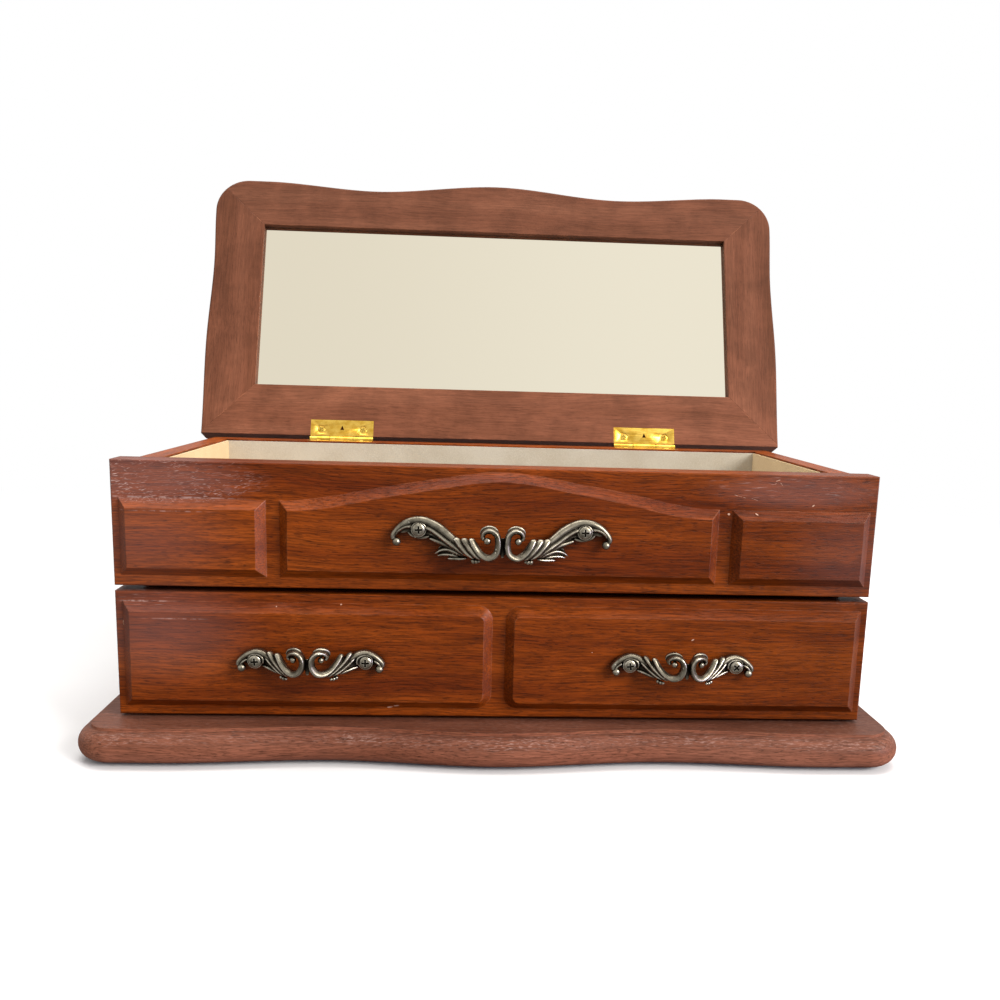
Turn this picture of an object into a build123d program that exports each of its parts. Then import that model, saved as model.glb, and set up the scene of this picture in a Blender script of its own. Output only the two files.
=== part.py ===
from build123d import *
from math import cos, pi, sin
import os

# A wooden vanity box: an open tray with a hinged mirror lid above one drawer, on a
# serpentine plinth.  Millimetres, +X to the right, -Y to the front, +Z up, and the
# origin at the middle of the underside.  The lid is drawn shut and then swung open,
# so that its pieces share their sizes with the case that they close on.

# ---------------------------------------------------------------- driving dimensions

# Front boards: the fixed upper front and the drawer front.  Both are planted boards
# with raised fields, bevelled all round and parted by sunk channels.
front_width = 280.8
front_thickness = 15.0        # over the raised fields
field_relief = 3.5            # the fields stand this far out of the border
field_bevel = 3.3             # width of the bevel round each field
upper_front_height = 46.0
drawer_front_height = 47.0
front_gap = 2.0               # shadow gap between the two boards
drawer_sill_gap = 1.0         # drawer front above the plinth
front_arris = 0.6             # softened edges of the boards
end_border = 2.6              # border left at the ends of both boards
channel_width = 4.8           # flat floor of a channel
side_channel_x = 83.1         # the two channels of the upper front
upper_border_bottom = 4.0
upper_border_top = 13.6       # from the top edge down to the outer fields
arch_crest_drop = 1.5         # from the top edge down to the crest of the arch
drawer_border = 3.5
drawer_corner = 2.4           # rounded field corners beside the drawer's channel

# Case
side_thickness = 8.0
side_setback = 7.0            # the front boards stand past the sides by this much
case_depth = 105.5            # from the back of the front boards to the rear face
back_thickness = 9.0
rear_rabbet = 4.0             # depth of the rabbets that take the back
tray_floor_thickness = 4.0
tray_floor_rise = 2.5         # tray floor above the lower edge of the upper front
groove_depth = 3.0
groove_slack = 0.3            # room left at the bottom of each groove

# Plinth
base_thickness = 13.0
felt_thickness = 1.0
felt_inset = 9.0
base_side_overhang = 13.4     # past the ends of the front boards
base_rear_overhang = 4.0
base_crest_overhang = 19.0    # past the border plane of the fronts, at the middle
base_valley_overhang = 13.6
base_lobe_overhang = 17.2
base_valley_x = 58.0
base_lobe_inset = 37.8        # from the sides of the plinth
base_corner = 14.0
step_height = 1.0             # thin fillet left by the moulding cutter
step_inset = 4.7

# Lid
lid_half_width = 141.3
lid_crest_overhang = 17.1
lid_valley_overhang = 12.1
lid_lobe_overhang = 15.3
lid_valley_x = 60.0
lid_lobe_inset = 28.3         # from the sides of the lid
lid_corner = 16.0
lid_waist = 1.2               # how far the sides draw in near their front end
lid_waist_y = 28.0            # waist behind the border plane
lid_swell_y = 64.0            # fullest point behind the border plane
frame_thickness = 8.0
frame_lip = 3.0               # lip that covers the edge of the mirror
frame_arris = 0.9
lid_board_thickness = 6.0
lid_round = 4.2               # rounded edge of the lid board
lid_step_height = 0.8
lid_step_inset = 3.6
mirror_view_width = 233.0
mirror_view_depth = 83.6
mirror_view_rear = 25.0       # from the rear face of the case to the opening
mirror_cover = 6.0            # edge of the glass under the lip
mirror_thickness = 2.5
mirror_slack = 0.4
lid_open_angle = 110.0        # the lid leans 20 degrees back from upright

# Hinges
hinge_x = 73.6
hinge_width = 30.0
leaf_reach = 9.8              # free edge of a leaf from the pin's axis
leaf_thickness = 1.0
barrel_radius = 1.6
pin_radius = 0.7
pin_clearance = 0.05
middle_knuckle = 11.0
knuckle_gap = 0.2
barrel_gap = 0.3              # barrel to the wood behind it
stop_length = 5.0             # tail that stops the open lid on the case's rear face
stop_thickness = 1.0
hinge_screw_spacing = 20.0
hinge_screw_reach = 5.0       # screws from the pin's axis

# Screws
small_screw = (1.9, 0.9, 6.5)      # head radius, shank radius, length under the face
base_screw = (3.5, 1.7, 24.0)
pull_screw_head = 2.4
pull_screw_dome = 1.2
pull_screw_shank = 1.3
pull_screw_grip = 8.0              # length held by the wood
screw_clearance = 0.05
seat_clearance = 0.15
base_screw_front = 12.75           # behind the front boards
base_screw_rear = 3.75             # before the back

# Tray lining and fittings
lining_thickness = 1.0
lining_drop = 0.8             # lining ends this far below the rim
ring_bay_width = 74.0
divider_thickness = 3.0
divider_height = 24.0
tray_front_depth = 52.0       # front compartment
ring_roll_count = 6
ring_roll_height = 17.0
roll_gap = 0.3

# Drawer
drawer_side_thickness = 7.0
drawer_side_height = 38.0
drawer_rear_gap = 2.5         # behind the shut drawer
drawer_side_gap = 0.6
drawer_run_gap = 0.3          # running gap over the plinth
drawer_bottom_thickness = 3.0
drawer_bottom_rise = 4.0

# Pulls: screws, scroll and bow of the large and the small casting
upper_pull_z = 25.2           # middle of the pull below the top edge
drawer_pull_x = 68.9
drawer_pull_z = 24.6          # middle of the pull below the drawer front's top edge

# ------------------------------------------------------------------- derived planes

base_top = felt_thickness + base_thickness
drawer_front_z = base_top + drawer_sill_gap
drawer_front_top = drawer_front_z + drawer_front_height
upper_front_z = drawer_front_top + front_gap
case_top = upper_front_z + upper_front_height
upper_pull_middle = case_top - upper_pull_z
drawer_pull_middle = drawer_front_top - drawer_pull_z
tray_floor_z = upper_front_z + tray_floor_rise
tray_floor_top = tray_floor_z + tray_floor_thickness

border_thickness = front_thickness - field_relief
base_depth = base_crest_overhang + border_thickness + case_depth + base_rear_overhang
rear_y = base_depth / 2 - base_rear_overhang
board_back_y = rear_y - case_depth
border_y = board_back_y - border_thickness
field_y = border_y - field_relief
back_inner_y = rear_y - back_thickness

side_outer_x = front_width / 2 - side_setback
side_inner_x = side_outer_x - side_thickness

hinge_y = rear_y + barrel_radius + barrel_gap
hinge_axis = Axis((0, hinge_y, case_top), (1, 0, 0))

FRONT = Plane(origin=(0, border_y, 0), x_dir=(1, 0, 0), z_dir=(0, -1, 0))


# ------------------------------------------------------------------------- helpers

def block(x, y, z):
    """A board between two limits along each axis."""
    size = [high - low for low, high in (x, y, z)]
    middle = [(high + low) / 2 for low, high in (x, y, z)]
    return Pos(*middle) * Box(*size)


def drill(radius, start, end):
    """A round bore or bar between two points."""
    path = Vector(*end) - Vector(*start)
    seat = Plane(origin=start, z_dir=path)
    return extrude(seat * Circle(radius), amount=path.length)


def countersunk(screw, face_point, into, slack=0.0):
    """A countersunk screw driven into a face, or its hole when given some slack."""
    head, shank, length = screw
    profile = Polyline(
        (0, 0), (head + slack, 0), (shank + slack, head - shank), (shank + slack, length),
        (0, length + slack), close=True)
    screw_plane = Plane(origin=face_point, z_dir=into)
    return screw_plane * revolve(Plane.XZ * make_face(profile), Axis.Z)


# --------------------------------------------------------------------- front boards

def raised_field(outline):
    """A field that stands out of the border plane, bevelled down to it all round.

    The outline is a function that draws the field drawn in by a given distance."""
    foot = FRONT * outline(0.0)
    crown = FRONT.offset(field_relief) * outline(field_bevel)
    return loft([foot, crown], ruled=True)


def plain_board(z, height):
    """A front board with softened edges, without its fields."""
    half = front_width / 2
    board = block((-half, half), (border_y, board_back_y), (z, z + height))
    return fillet(board.faces().sort_by(Axis.Y)[0].edges(), front_arris)


def straight_field(x0, x1, z0, z1, corner=0.0):
    """A four-sided field; its corners nearest the middle may be rounded."""
    def outline(inset):
        left, right = x0 + inset, x1 - inset
        low, high = z0 + inset, z1 - inset
        field = make_face(Polyline(
            (left, low), (right, low), (right, high), (left, high), close=True))
        if corner:
            near = field.vertices().sort_by(lambda v: abs(v.X))[:2]
            field = fillet(near, corner + field_bevel - inset)
        return field
    return outline


def arched_field(half, z0, shoulder, crest):
    """The middle field: its top edge swells from two level shoulders to a crest."""
    def outline(inset):
        reach, low = half - inset, z0 + inset
        level, rise = shoulder - inset, crest - shoulder
        flank = [(0.37, 0.36), (0.70, 0.75)]
        left = [(-reach * (1 - run), level + rise * climb) for run, climb in flank]
        right = [(-x, z) for x, z in reversed(left)]
        top = Spline(
            (-reach, level), *left, (0, level + rise), *right, (reach, level),
            tangents=((1, 0), (1, 0)))
        sides = Polyline((-reach, level), (-reach, low), (reach, low), (reach, level))
        return make_face([top, sides])
    return outline


def make_upper_front():
    z0 = upper_front_z + upper_border_bottom
    shoulder = case_top - upper_border_top
    inner = side_channel_x - channel_width / 2
    outer = side_channel_x + channel_width / 2
    end = front_width / 2 - end_border
    board = plain_board(upper_front_z, upper_front_height)
    board += raised_field(arched_field(inner, z0, shoulder, case_top - arch_crest_drop))
    board += raised_field(straight_field(outer, end, z0, shoulder))
    board += raised_field(straight_field(-end, -outer, z0, shoulder))
    board -= tray_floor_groove()
    return board - at_pull(pull_screw_holes(upper_pull), 0, upper_pull_middle)


def make_drawer_front():
    z0 = drawer_front_z + drawer_border
    z1 = drawer_front_top - drawer_border
    end = front_width / 2 - end_border
    start = channel_width / 2
    board = plain_board(drawer_front_z, drawer_front_height)
    board += raised_field(straight_field(start, end, z0, z1, drawer_corner))
    board += raised_field(straight_field(-end, -start, z0, z1, drawer_corner))
    board -= drawer_bottom_panel(0.0)
    for x in (-drawer_pull_x, drawer_pull_x):
        board -= at_pull(pull_screw_holes(drawer_pull), x, drawer_pull_middle)
    return board


# ----------------------------------------------------------------------------- case

def tray_floor_groove():
    """The groove round the case that takes the tray floor."""
    reach = side_inner_x + groove_depth
    return block(
        (-reach, reach),
        (board_back_y - groove_depth, back_inner_y + groove_depth),
        (tray_floor_z, tray_floor_top))


def make_tray_floor():
    reach = side_inner_x + groove_depth - groove_slack
    return block(
        (-reach, reach),
        (board_back_y - groove_depth + groove_slack,
         back_inner_y + groove_depth - groove_slack),
        (tray_floor_z, tray_floor_top))


def make_back():
    reach = side_inner_x + rear_rabbet
    back = block((-reach, reach), (back_inner_y, rear_y), (base_top, case_top))
    return back - tray_floor_groove() - hinge_mortises(-1) - case_hinge_screws(True)


def make_side(hand):
    """One side, rabbeted for the back and grooved for the tray floor."""
    low, high = sorted((hand * side_inner_x, hand * side_outer_x))
    side = block((low, high), (board_back_y, rear_y), (base_top, case_top))
    reach = side_inner_x + rear_rabbet
    side -= block((-reach, reach), (back_inner_y, rear_y), (base_top, case_top))
    return side - tray_floor_groove() - base_screws(True)


# --------------------------------------------------------------- serpentine outlines

def front_curve(half, corner, crest, valley, lobe, valley_x, lobe_x):
    """The serpentine front edge: a crest between two valleys and two outer lobes."""
    right = [(valley_x, border_y - valley), (lobe_x, border_y - lobe)]
    left = [(-x, y) for x, y in reversed(right)]
    ends = [(x, border_y - lobe) for x in (-half + corner, half - corner)]
    return Spline(
        ends[0], *left, (0, border_y - crest), *right, ends[1],
        tangents=((1, 0), (1, 0)))


def corner_arc(half, corner, lobe, hand):
    """The rounded front corner between a side and the serpentine edge."""
    return RadiusArc(
        (hand * half, border_y - lobe + corner),
        (hand * (half - corner), border_y - lobe), hand * corner)


def base_outline(inset=0.0):
    side = front_width / 2 + base_side_overhang
    half = side - inset
    lobe = base_lobe_overhang - inset
    corner = base_corner - inset
    front = front_curve(
        half, corner, base_crest_overhang - inset, base_valley_overhang - inset, lobe,
        base_valley_x, side - base_lobe_inset)
    rear = base_depth / 2
    sides = Polyline(
        (-half, border_y - lobe + corner), (-half, rear), (half, rear),
        (half, border_y - lobe + corner))
    return make_face([
        front, corner_arc(half, corner, lobe, 1), sides,
        corner_arc(half, corner, lobe, -1)])


def lid_outline(inset=0.0):
    half = lid_half_width - inset
    waist = half - lid_waist
    lobe = lid_lobe_overhang - inset
    corner = lid_corner - inset
    shoulder = half - lid_waist / 3
    front = front_curve(
        shoulder, corner, lid_crest_overhang - inset, lid_valley_overhang - inset, lobe,
        lid_valley_x, lid_half_width - lid_lobe_inset)
    flank = [
        (shoulder, border_y - lobe + corner), (waist, border_y + lid_waist_y),
        (half, border_y + lid_swell_y), (half - lid_waist / 2, rear_y)]
    right = Spline(*flank, tangents=((0, 1), (0, 1)))
    left = Spline(*[(-x, y) for x, y in flank], tangents=((0, 1), (0, 1)))
    rear = Line(left @ 1, right @ 1)
    return make_face([
        front, corner_arc(shoulder, corner, lobe, 1), right, rear, left,
        corner_arc(shoulder, corner, lobe, -1)])


def edges_off_rear(board, z):
    """The edges of a board's face at height z, apart from its straight rear edge."""
    face = board.faces().filter_by(Axis.Z).sort_by(lambda f: abs(f.center().Z - z))[0]
    rearmost = face.edges().sort_by(lambda e: e.center().Y)[-1]
    return [edge for edge in face.edges() if edge != rearmost]


# --------------------------------------------------------------------------- plinth

def make_base():
    """The plinth board: a bullnose edge under a thin step, as one cutter leaves it."""
    edge_height = base_thickness - step_height
    nose = edge_height / 2 - 0.1
    board = extrude(Pos(0, 0, felt_thickness) * base_outline(), amount=edge_height)
    board = fillet(edges_off_rear(board, felt_thickness + edge_height), nose)
    board = fillet(edges_off_rear(board, felt_thickness), nose)
    step = Pos(0, 0, felt_thickness + edge_height / 2) * base_outline(step_inset)
    board += extrude(step, amount=edge_height / 2 + step_height)
    return board - base_screws(True)


def make_felt():
    return extrude(base_outline(felt_inset), amount=felt_thickness)


def base_screws(hole=False):
    """Screws driven up through the plinth into the sides, hidden by the felt."""
    x = (side_inner_x + side_outer_x) / 2
    places = (board_back_y + base_screw_front, back_inner_y - base_screw_rear)
    slack = screw_clearance if hole else 0.0
    return [
        countersunk(base_screw, (hand * x, y, felt_thickness), (0, 0, 1), slack)
        for hand in (-1, 1) for y in places]


# ------------------------------------------------------------- tray lining and rolls

lining_z = tray_floor_top + lining_thickness
lining_top = case_top - lining_drop
tray_x = side_inner_x - lining_thickness
tray_front_y = board_back_y + lining_thickness
tray_rear_y = back_inner_y - lining_thickness
ring_bay_x = -tray_x + ring_bay_width


def make_floor_lining():
    return block(
        (-side_inner_x, side_inner_x), (board_back_y, back_inner_y),
        (tray_floor_top, lining_z))


def make_cross_lining(y):
    """The covered card on the front or the rear wall of the tray."""
    return block(
        (-side_inner_x, side_inner_x), (y, y + lining_thickness), (lining_z, lining_top))


def make_end_lining(hand):
    low, high = sorted((hand * tray_x, hand * side_inner_x))
    return block((low, high), (tray_front_y, tray_rear_y), (lining_z, lining_top))


def make_ring_divider():
    return block(
        (ring_bay_x, ring_bay_x + divider_thickness), (tray_front_y, tray_rear_y),
        (lining_z, lining_z + divider_height))


def make_tray_divider():
    y = tray_front_y + tray_front_depth
    return block(
        (ring_bay_x + divider_thickness, tray_x), (y, y + divider_thickness),
        (lining_z, lining_z + divider_height))


def make_ring_roll(index):
    """One padded roll across the ring bay, with a round top."""
    pitch = (tray_rear_y - tray_front_y) / ring_roll_count
    radius = pitch / 2 - roll_gap / 2
    y = tray_front_y + (index + 0.5) * pitch
    z = lining_z + roll_gap
    shoulder = z + ring_roll_height - radius
    section = Plane.YZ.offset(-tray_x + roll_gap) * (
        Pos(y, (z + shoulder) / 2) * Rectangle(2 * radius, shoulder - z)
        + Pos(y, shoulder) * Circle(radius))
    return extrude(section, amount=ring_bay_width - 2 * roll_gap)


# ------------------------------------------------------------------------------ lid

frame_top = case_top + frame_thickness
view_half = mirror_view_width / 2
view_rear_y = rear_y - mirror_view_rear
view_front_y = view_rear_y - mirror_view_depth


def mirror_frame():
    """The whole frame before it is cut at the mitres."""
    frame = extrude(Pos(0, 0, case_top) * lid_outline(), amount=frame_thickness)
    frame = fillet(edges_off_rear(frame, case_top), frame_arris)
    frame -= block(
        (-view_half, view_half), (view_front_y, view_rear_y), (case_top, frame_top))
    seat = mirror_cover + mirror_slack
    frame -= block(
        (-view_half - seat, view_half + seat), (view_front_y - seat, view_rear_y + seat),
        (case_top + frame_lip, frame_top))
    return frame


def frame_member(frame, x_hand, y_hand):
    """The rail or stile on one side of the opening.  Each mitre runs from a corner of
    the opening to the corner of the lid, and the cut goes on past it."""
    view_y = {1: view_rear_y, -1: view_front_y}
    lid_y = {1: rear_y, -1: border_y - lid_lobe_overhang}
    if x_hand:
        ends = [(x_hand, -1), (x_hand, 1)]
    else:
        ends = [(-1, y_hand), (1, y_hand)]
    inner = [Vector(x * view_half, view_y[y]) for x, y in ends]
    corners = [Vector(x * lid_half_width, lid_y[y]) for x, y in ends]
    outer = [near + 2 * (far - near) for near, far in zip(inner, corners)]
    wedge = make_face(Polyline(inner[0], inner[1], outer[1], outer[0], close=True))
    return frame & extrude(Pos(0, 0, case_top) * wedge, amount=frame_thickness)


def make_lid_board():
    """The outer board of the lid, with a rounded edge under a thin step."""
    edge_height = lid_board_thickness - lid_step_height
    board = extrude(Pos(0, 0, frame_top) * lid_outline(), amount=edge_height)
    board = fillet(edges_off_rear(board, frame_top + edge_height), lid_round)
    step = Pos(0, 0, frame_top + edge_height / 2) * lid_outline(lid_step_inset)
    return board + extrude(step, amount=edge_height / 2 + lid_step_height)


def make_mirror():
    return block(
        (-view_half - mirror_cover, view_half + mirror_cover),
        (view_front_y - mirror_cover, view_rear_y + mirror_cover),
        (case_top + frame_lip, case_top + frame_lip + mirror_thickness))


def make_mirror_backing():
    return block(
        (-view_half - mirror_cover, view_half + mirror_cover),
        (view_front_y - mirror_cover, view_rear_y + mirror_cover),
        (case_top + frame_lip + mirror_thickness, frame_top))


# --------------------------------------------------------------------------- hinges

def barrel_piece(x0, x1):
    """A knuckle bored for the pin, between two places along the hinge's axis."""
    start, end = (x0, hinge_y, case_top), (x1, hinge_y, case_top)
    return drill(barrel_radius, start, end) - drill(pin_radius + pin_clearance, start, end)


def leaf_plate(x, face):
    """A leaf let into the case (face -1) or the lid (face 1), short of the barrel."""
    z0, z1 = sorted((case_top, case_top + face * leaf_thickness))
    half = hinge_width / 2
    return block((x - half, x + half), (hinge_y - leaf_reach, rear_y), (z0, z1))


def leaf_tongue(x0, x1, face):
    """The strap of a leaf that rolls over into a knuckle."""
    z0, z1 = sorted((case_top, case_top + face * leaf_thickness))
    strap = block((x0, x1), (rear_y, hinge_y), (z0, z1))
    bore = pin_radius + pin_clearance
    return strap - drill(bore, (x0, hinge_y, case_top), (x1, hinge_y, case_top))


def make_case_leaf(x):
    """The case leaf with its two outer knuckles."""
    leaf = leaf_plate(x, -1)
    for hand in (-1, 1):
        near = x + hand * (middle_knuckle / 2 + knuckle_gap)
        far = x + hand * hinge_width / 2
        low, high = sorted((near, far))
        leaf += barrel_piece(low, high) + leaf_tongue(low, high, -1)
    return leaf - leaf_screws(x, -1, True)


def make_lid_leaf(x):
    """The lid leaf: the middle knuckle carries the tail that stops the open lid."""
    half = middle_knuckle / 2
    leaf = leaf_plate(x, 1)
    leaf += barrel_piece(x - half, x + half) + leaf_tongue(x - half, x + half, 1)
    stop = block(
        (x - half, x + half), (rear_y, rear_y + stop_thickness),
        (case_top - stop_length, case_top))
    leaf += stop.rotate(hinge_axis, lid_open_angle)
    return leaf - leaf_screws(x, 1, True)


def make_pin(x):
    half = hinge_width / 2
    return drill(pin_radius, (x - half, hinge_y, case_top), (x + half, hinge_y, case_top))


def leaf_screws(x, face, hole=False):
    """The two countersunk screws of one leaf."""
    slack = screw_clearance if hole else 0.0
    return [
        countersunk(
            small_screw,
            (x + hand * hinge_screw_spacing / 2, hinge_y - hinge_screw_reach, case_top),
            (0, 0, face), slack)
        for hand in (-1, 1)]


def case_hinge_screws(hole=False):
    return leaf_screws(-hinge_x, -1, hole) + leaf_screws(hinge_x, -1, hole)


def lid_hinge_screws(hole=False):
    return leaf_screws(-hinge_x, 1, hole) + leaf_screws(hinge_x, 1, hole)


def hinge_mortises(face):
    return leaf_plate(-hinge_x, face) + leaf_plate(hinge_x, face)


# --------------------------------------------------------------------------- drawer

drawer_z = base_top + drawer_run_gap
drawer_outer_x = side_inner_x - drawer_side_gap
drawer_inner_x = drawer_outer_x - drawer_side_thickness
drawer_rear_y = back_inner_y - drawer_rear_gap
drawer_back_y = drawer_rear_y - drawer_side_thickness
drawer_bottom_z = drawer_z + drawer_bottom_rise


def drawer_bottom_panel(slack):
    """The drawer bottom, or the grooves that take it when there is no slack."""
    reach = drawer_inner_x + groove_depth - slack
    return block(
        (-reach, reach),
        (board_back_y - groove_depth + slack, drawer_back_y + groove_depth - slack),
        (drawer_bottom_z, drawer_bottom_z + drawer_bottom_thickness))


def make_drawer_side(hand):
    low, high = sorted((hand * drawer_inner_x, hand * drawer_outer_x))
    side = block(
        (low, high), (board_back_y, drawer_rear_y), (drawer_z, drawer_z + drawer_side_height))
    return side - drawer_bottom_panel(0.0)


def make_drawer_back():
    back = block(
        (-drawer_inner_x, drawer_inner_x), (drawer_back_y, drawer_rear_y),
        (drawer_z, drawer_z + drawer_side_height))
    return back - drawer_bottom_panel(0.0)


def make_drawer_lining():
    z = drawer_bottom_z + drawer_bottom_thickness
    return block(
        (-drawer_inner_x, drawer_inner_x), (board_back_y, drawer_back_y),
        (z, z + lining_thickness))


# ---------------------------------------------------------------------------- pulls

# Each pull is a pair of mirrored castings.  A half is one tapering bar: from a curled
# tip it passes over the screw boss, runs down as a leafy arm, and winds into a scroll.
# Its points are (outward, up, radius) from the middle of the pull.  A scroll is given by
# its centre (outward, up), its reach at the foot, the ratio by which it closes in every
# quarter turn, how much narrower than tall it is, and the radius of its bar.

upper_pull = {
    "screw": (30.0, 3.2),
    "boss": 3.3,
    "foot": 4.2,              # top of the boss over the field
    "bow": 8.5,               # how far the middle stands out beyond the boss
    "arm": [
        (38.3, -1.4, 1.1), (39.6, 0.6, 1.1), (38.4, 3.3, 1.3), (34.8, 5.6, 1.6),
        (30.0, 6.0, 2.0), (25.6, 4.7, 2.4), (21.6, 2.4, 2.4), (17.6, -0.5, 2.4),
        (13.4, -3.4, 2.3), (9.4, -5.4, 1.6)],
    "scroll": (4.8, 0.9, 6.9, 0.655, 0.83, 1.15),
    "leaves": [
        [(13.0, -4.2, 1.3), (17.0, -4.0, 1.5), (21.0, -3.0, 1.2), (25.0, -1.4, 0.5)],
        [(10.2, -6.4, 0.9), (14.0, -7.0, 1.2), (18.2, -6.6, 1.0), (22.4, -5.0, 0.5)]],
    "bead": (9.8, -7.5, 0.9),
}
drawer_pull = {
    "screw": (20.0, 0.7),
    "boss": 2.9,
    "foot": 3.8,
    "bow": 9.0,
    "arm": [
        (25.0, -2.6, 1.0), (26.1, -0.6, 1.0), (24.2, 2.2, 1.2), (20.4, 3.6, 1.7),
        (16.6, 2.6, 2.3), (13.2, 0.5, 2.4), (10.2, -1.8, 1.9), (7.4, -3.4, 1.3)],
    "scroll": (4.4, 2.6, 6.4, 0.70, 0.75, 1.05),
    "leaves": [],
    "bead": (9.2, -4.4, 0.8),
}
scroll_quarters = 3.6         # quarter turns from the foot of the scroll to its eye
scroll_steps = 10
eye_growth = 1.4              # ball at the curled tip and at the scroll's eye
seat_depth = 1.2              # the bar's middle at a screw, below the screw's head


def pull_depth(pull, u):
    """Distance of the bar's middle from the field: low at the screw, bowed between."""
    share = min(abs(u) / pull["screw"][0], 1.0)
    return pull["foot"] - seat_depth + pull["bow"] * cos(share * pi / 2) ** 2


def scroll_stations(pull):
    """The scroll: a spiral that closes by a fixed ratio with every quarter turn."""
    centre_u, centre_w, reach, ratio, squeeze, radius = pull["scroll"]
    stations = []
    for step in range(scroll_steps + 1):
        quarters = scroll_quarters * step / scroll_steps
        angle = -pi / 2 - quarters * pi / 2
        swing = reach * ratio ** quarters
        stations.append((
            centre_u + squeeze * swing * cos(angle), centre_w + swing * sin(angle), radius))
    return stations


def tapered_bar(points):
    """A bar of changing radius through places in space."""
    places = [Vector(*point[:3]) for point in points]
    last = len(places) - 1
    sections = []
    for index, (place, point) in enumerate(zip(places, points)):
        ahead = places[min(index + 1, last)] - places[max(index - 1, 0)]
        across = ahead.cross(Vector(0, 1, 0))
        seat = Plane(origin=place, x_dir=across, z_dir=ahead)
        sections.append(seat * Circle(point[3]))
    return loft(sections)


def pull_half(pull):
    """The right-hand half of a pull, about its middle and off the plane y = 0."""
    def placed(station):
        u, w, radius = station
        return (u, -pull_depth(pull, u), w, radius)

    stations = [placed(station) for station in pull["arm"] + scroll_stations(pull)]
    half = tapered_bar(stations)
    for end in (stations[0], stations[-1]):
        half += Pos(*end[:3]) * Sphere(end[3] * eye_growth)
    for leaf in pull["leaves"]:
        half += tapered_bar([placed(station) for station in leaf])
    bead = placed(pull["bead"])
    half += Pos(*bead[:3]) * Sphere(bead[3])
    screw_u, screw_w = pull["screw"]
    return half + drill(
        pull["boss"], (screw_u, 0, screw_w), (screw_u, -pull["foot"], screw_w))


def make_pull(pull):
    right = pull_half(pull)
    both = right + mirror(right, Plane.YZ)
    return both - pull_screw_holes(pull) - pull_screw_seats(pull)


def pull_screw_places(pull):
    screw_u, screw_w = pull["screw"]
    return [(hand * screw_u, screw_w) for hand in (-1, 1)]


def pull_screw_holes(pull):
    return [
        drill(
            pull_screw_shank + screw_clearance, (u, -pull["foot"] - pull_screw_dome, w),
            (u, pull_screw_grip + screw_clearance, w))
        for u, w in pull_screw_places(pull)]


def pull_screw_seats(pull):
    """Clear round seats that the screw heads sit in, through the bar over the boss."""
    return [
        drill(
            pull_screw_head + seat_clearance, (u, -pull["foot"], w),
            (u, -2 * pull["foot"], w))
        for u, w in pull_screw_places(pull)]


def pull_screws(pull):
    """Domed screws through the bosses of a pull into the board."""
    dome_radius = (pull_screw_head ** 2 + pull_screw_dome ** 2) / (2 * pull_screw_dome)
    length = pull["foot"] + pull_screw_grip
    screws = []
    for u, w in pull_screw_places(pull):
        seat = Plane(origin=(u, -pull["foot"], w), z_dir=(0, -1, 0))
        ball = Pos(0, 0, pull_screw_dome - dome_radius) * Sphere(dome_radius)
        head = ball & extrude(Circle(pull_screw_head), amount=pull_screw_dome)
        shank = extrude(Circle(pull_screw_shank), amount=-length)
        screws.append(seat * (head + shank))
    return screws


def at_pull(pieces, x, z):
    """Puts what was drawn about the middle of a pull on a front board's field."""
    return [Pos(x, field_y, z) * piece for piece in pieces]


# --------------------------------------------------------------------------- output

def swung_open(piece):
    return piece.rotate(hinge_axis, -lid_open_angle)


def case_nodes():
    nodes = {
        "base_plinth": make_base(),
        "underside_felt": make_felt(),
        "base_screws": Compound(children=base_screws()),
        "side_left": make_side(-1),
        "side_right": make_side(1),
        "back_panel": make_back(),
        "upper_front": make_upper_front(),
        "tray_floor": make_tray_floor(),
        "tray_floor_lining": make_floor_lining(),
        "front_lining": make_cross_lining(board_back_y),
        "rear_lining": make_cross_lining(tray_rear_y),
        "left_lining": make_end_lining(-1),
        "right_lining": make_end_lining(1),
        "ring_bay_divider": make_ring_divider(),
        "tray_divider": make_tray_divider(),
        "upper_pull": Pos(0, field_y, upper_pull_middle) * make_pull(upper_pull),
        "upper_pull_screws": Compound(
            children=at_pull(pull_screws(upper_pull), 0, upper_pull_middle)),
        "case_hinge_screws": Compound(children=case_hinge_screws()),
    }
    for index in range(ring_roll_count):
        nodes[f"ring_roll_{index + 1}"] = make_ring_roll(index)
    for name, x in (("left", -hinge_x), ("right", hinge_x)):
        nodes[f"case_leaf_{name}"] = make_case_leaf(x)
        nodes[f"hinge_pin_{name}"] = make_pin(x)
    return nodes


def lid_nodes():
    frame = mirror_frame() - hinge_mortises(1) - lid_hinge_screws(True)
    nodes = {
        "lid_rail_rear": frame_member(frame, 0, 1),
        "lid_rail_front": frame_member(frame, 0, -1),
        "lid_stile_left": frame_member(frame, -1, 0),
        "lid_stile_right": frame_member(frame, 1, 0),
        "lid_board": make_lid_board(),
        "mirror_glass": make_mirror(),
        "mirror_backing": make_mirror_backing(),
        "lid_leaf_left": make_lid_leaf(-hinge_x),
        "lid_leaf_right": make_lid_leaf(hinge_x),
        "lid_hinge_screws": Compound(children=lid_hinge_screws()),
    }
    return {name: swung_open(piece) for name, piece in nodes.items()}


def drawer_nodes():
    places = (-drawer_pull_x, drawer_pull_x)
    pull = make_pull(drawer_pull)
    left, right = (Pos(x, field_y, drawer_pull_middle) * pull for x in places)
    screws = [
        screw for x in places
        for screw in at_pull(pull_screws(drawer_pull), x, drawer_pull_middle)]
    return {
        "drawer_front": make_drawer_front(),
        "drawer_side_left": make_drawer_side(-1),
        "drawer_side_right": make_drawer_side(1),
        "drawer_back": make_drawer_back(),
        "drawer_bottom": drawer_bottom_panel(groove_slack),
        "drawer_lining": make_drawer_lining(),
        "drawer_pull_left": left,
        "drawer_pull_right": right,
        "drawer_pull_screws": Compound(children=screws),
    }


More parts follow.
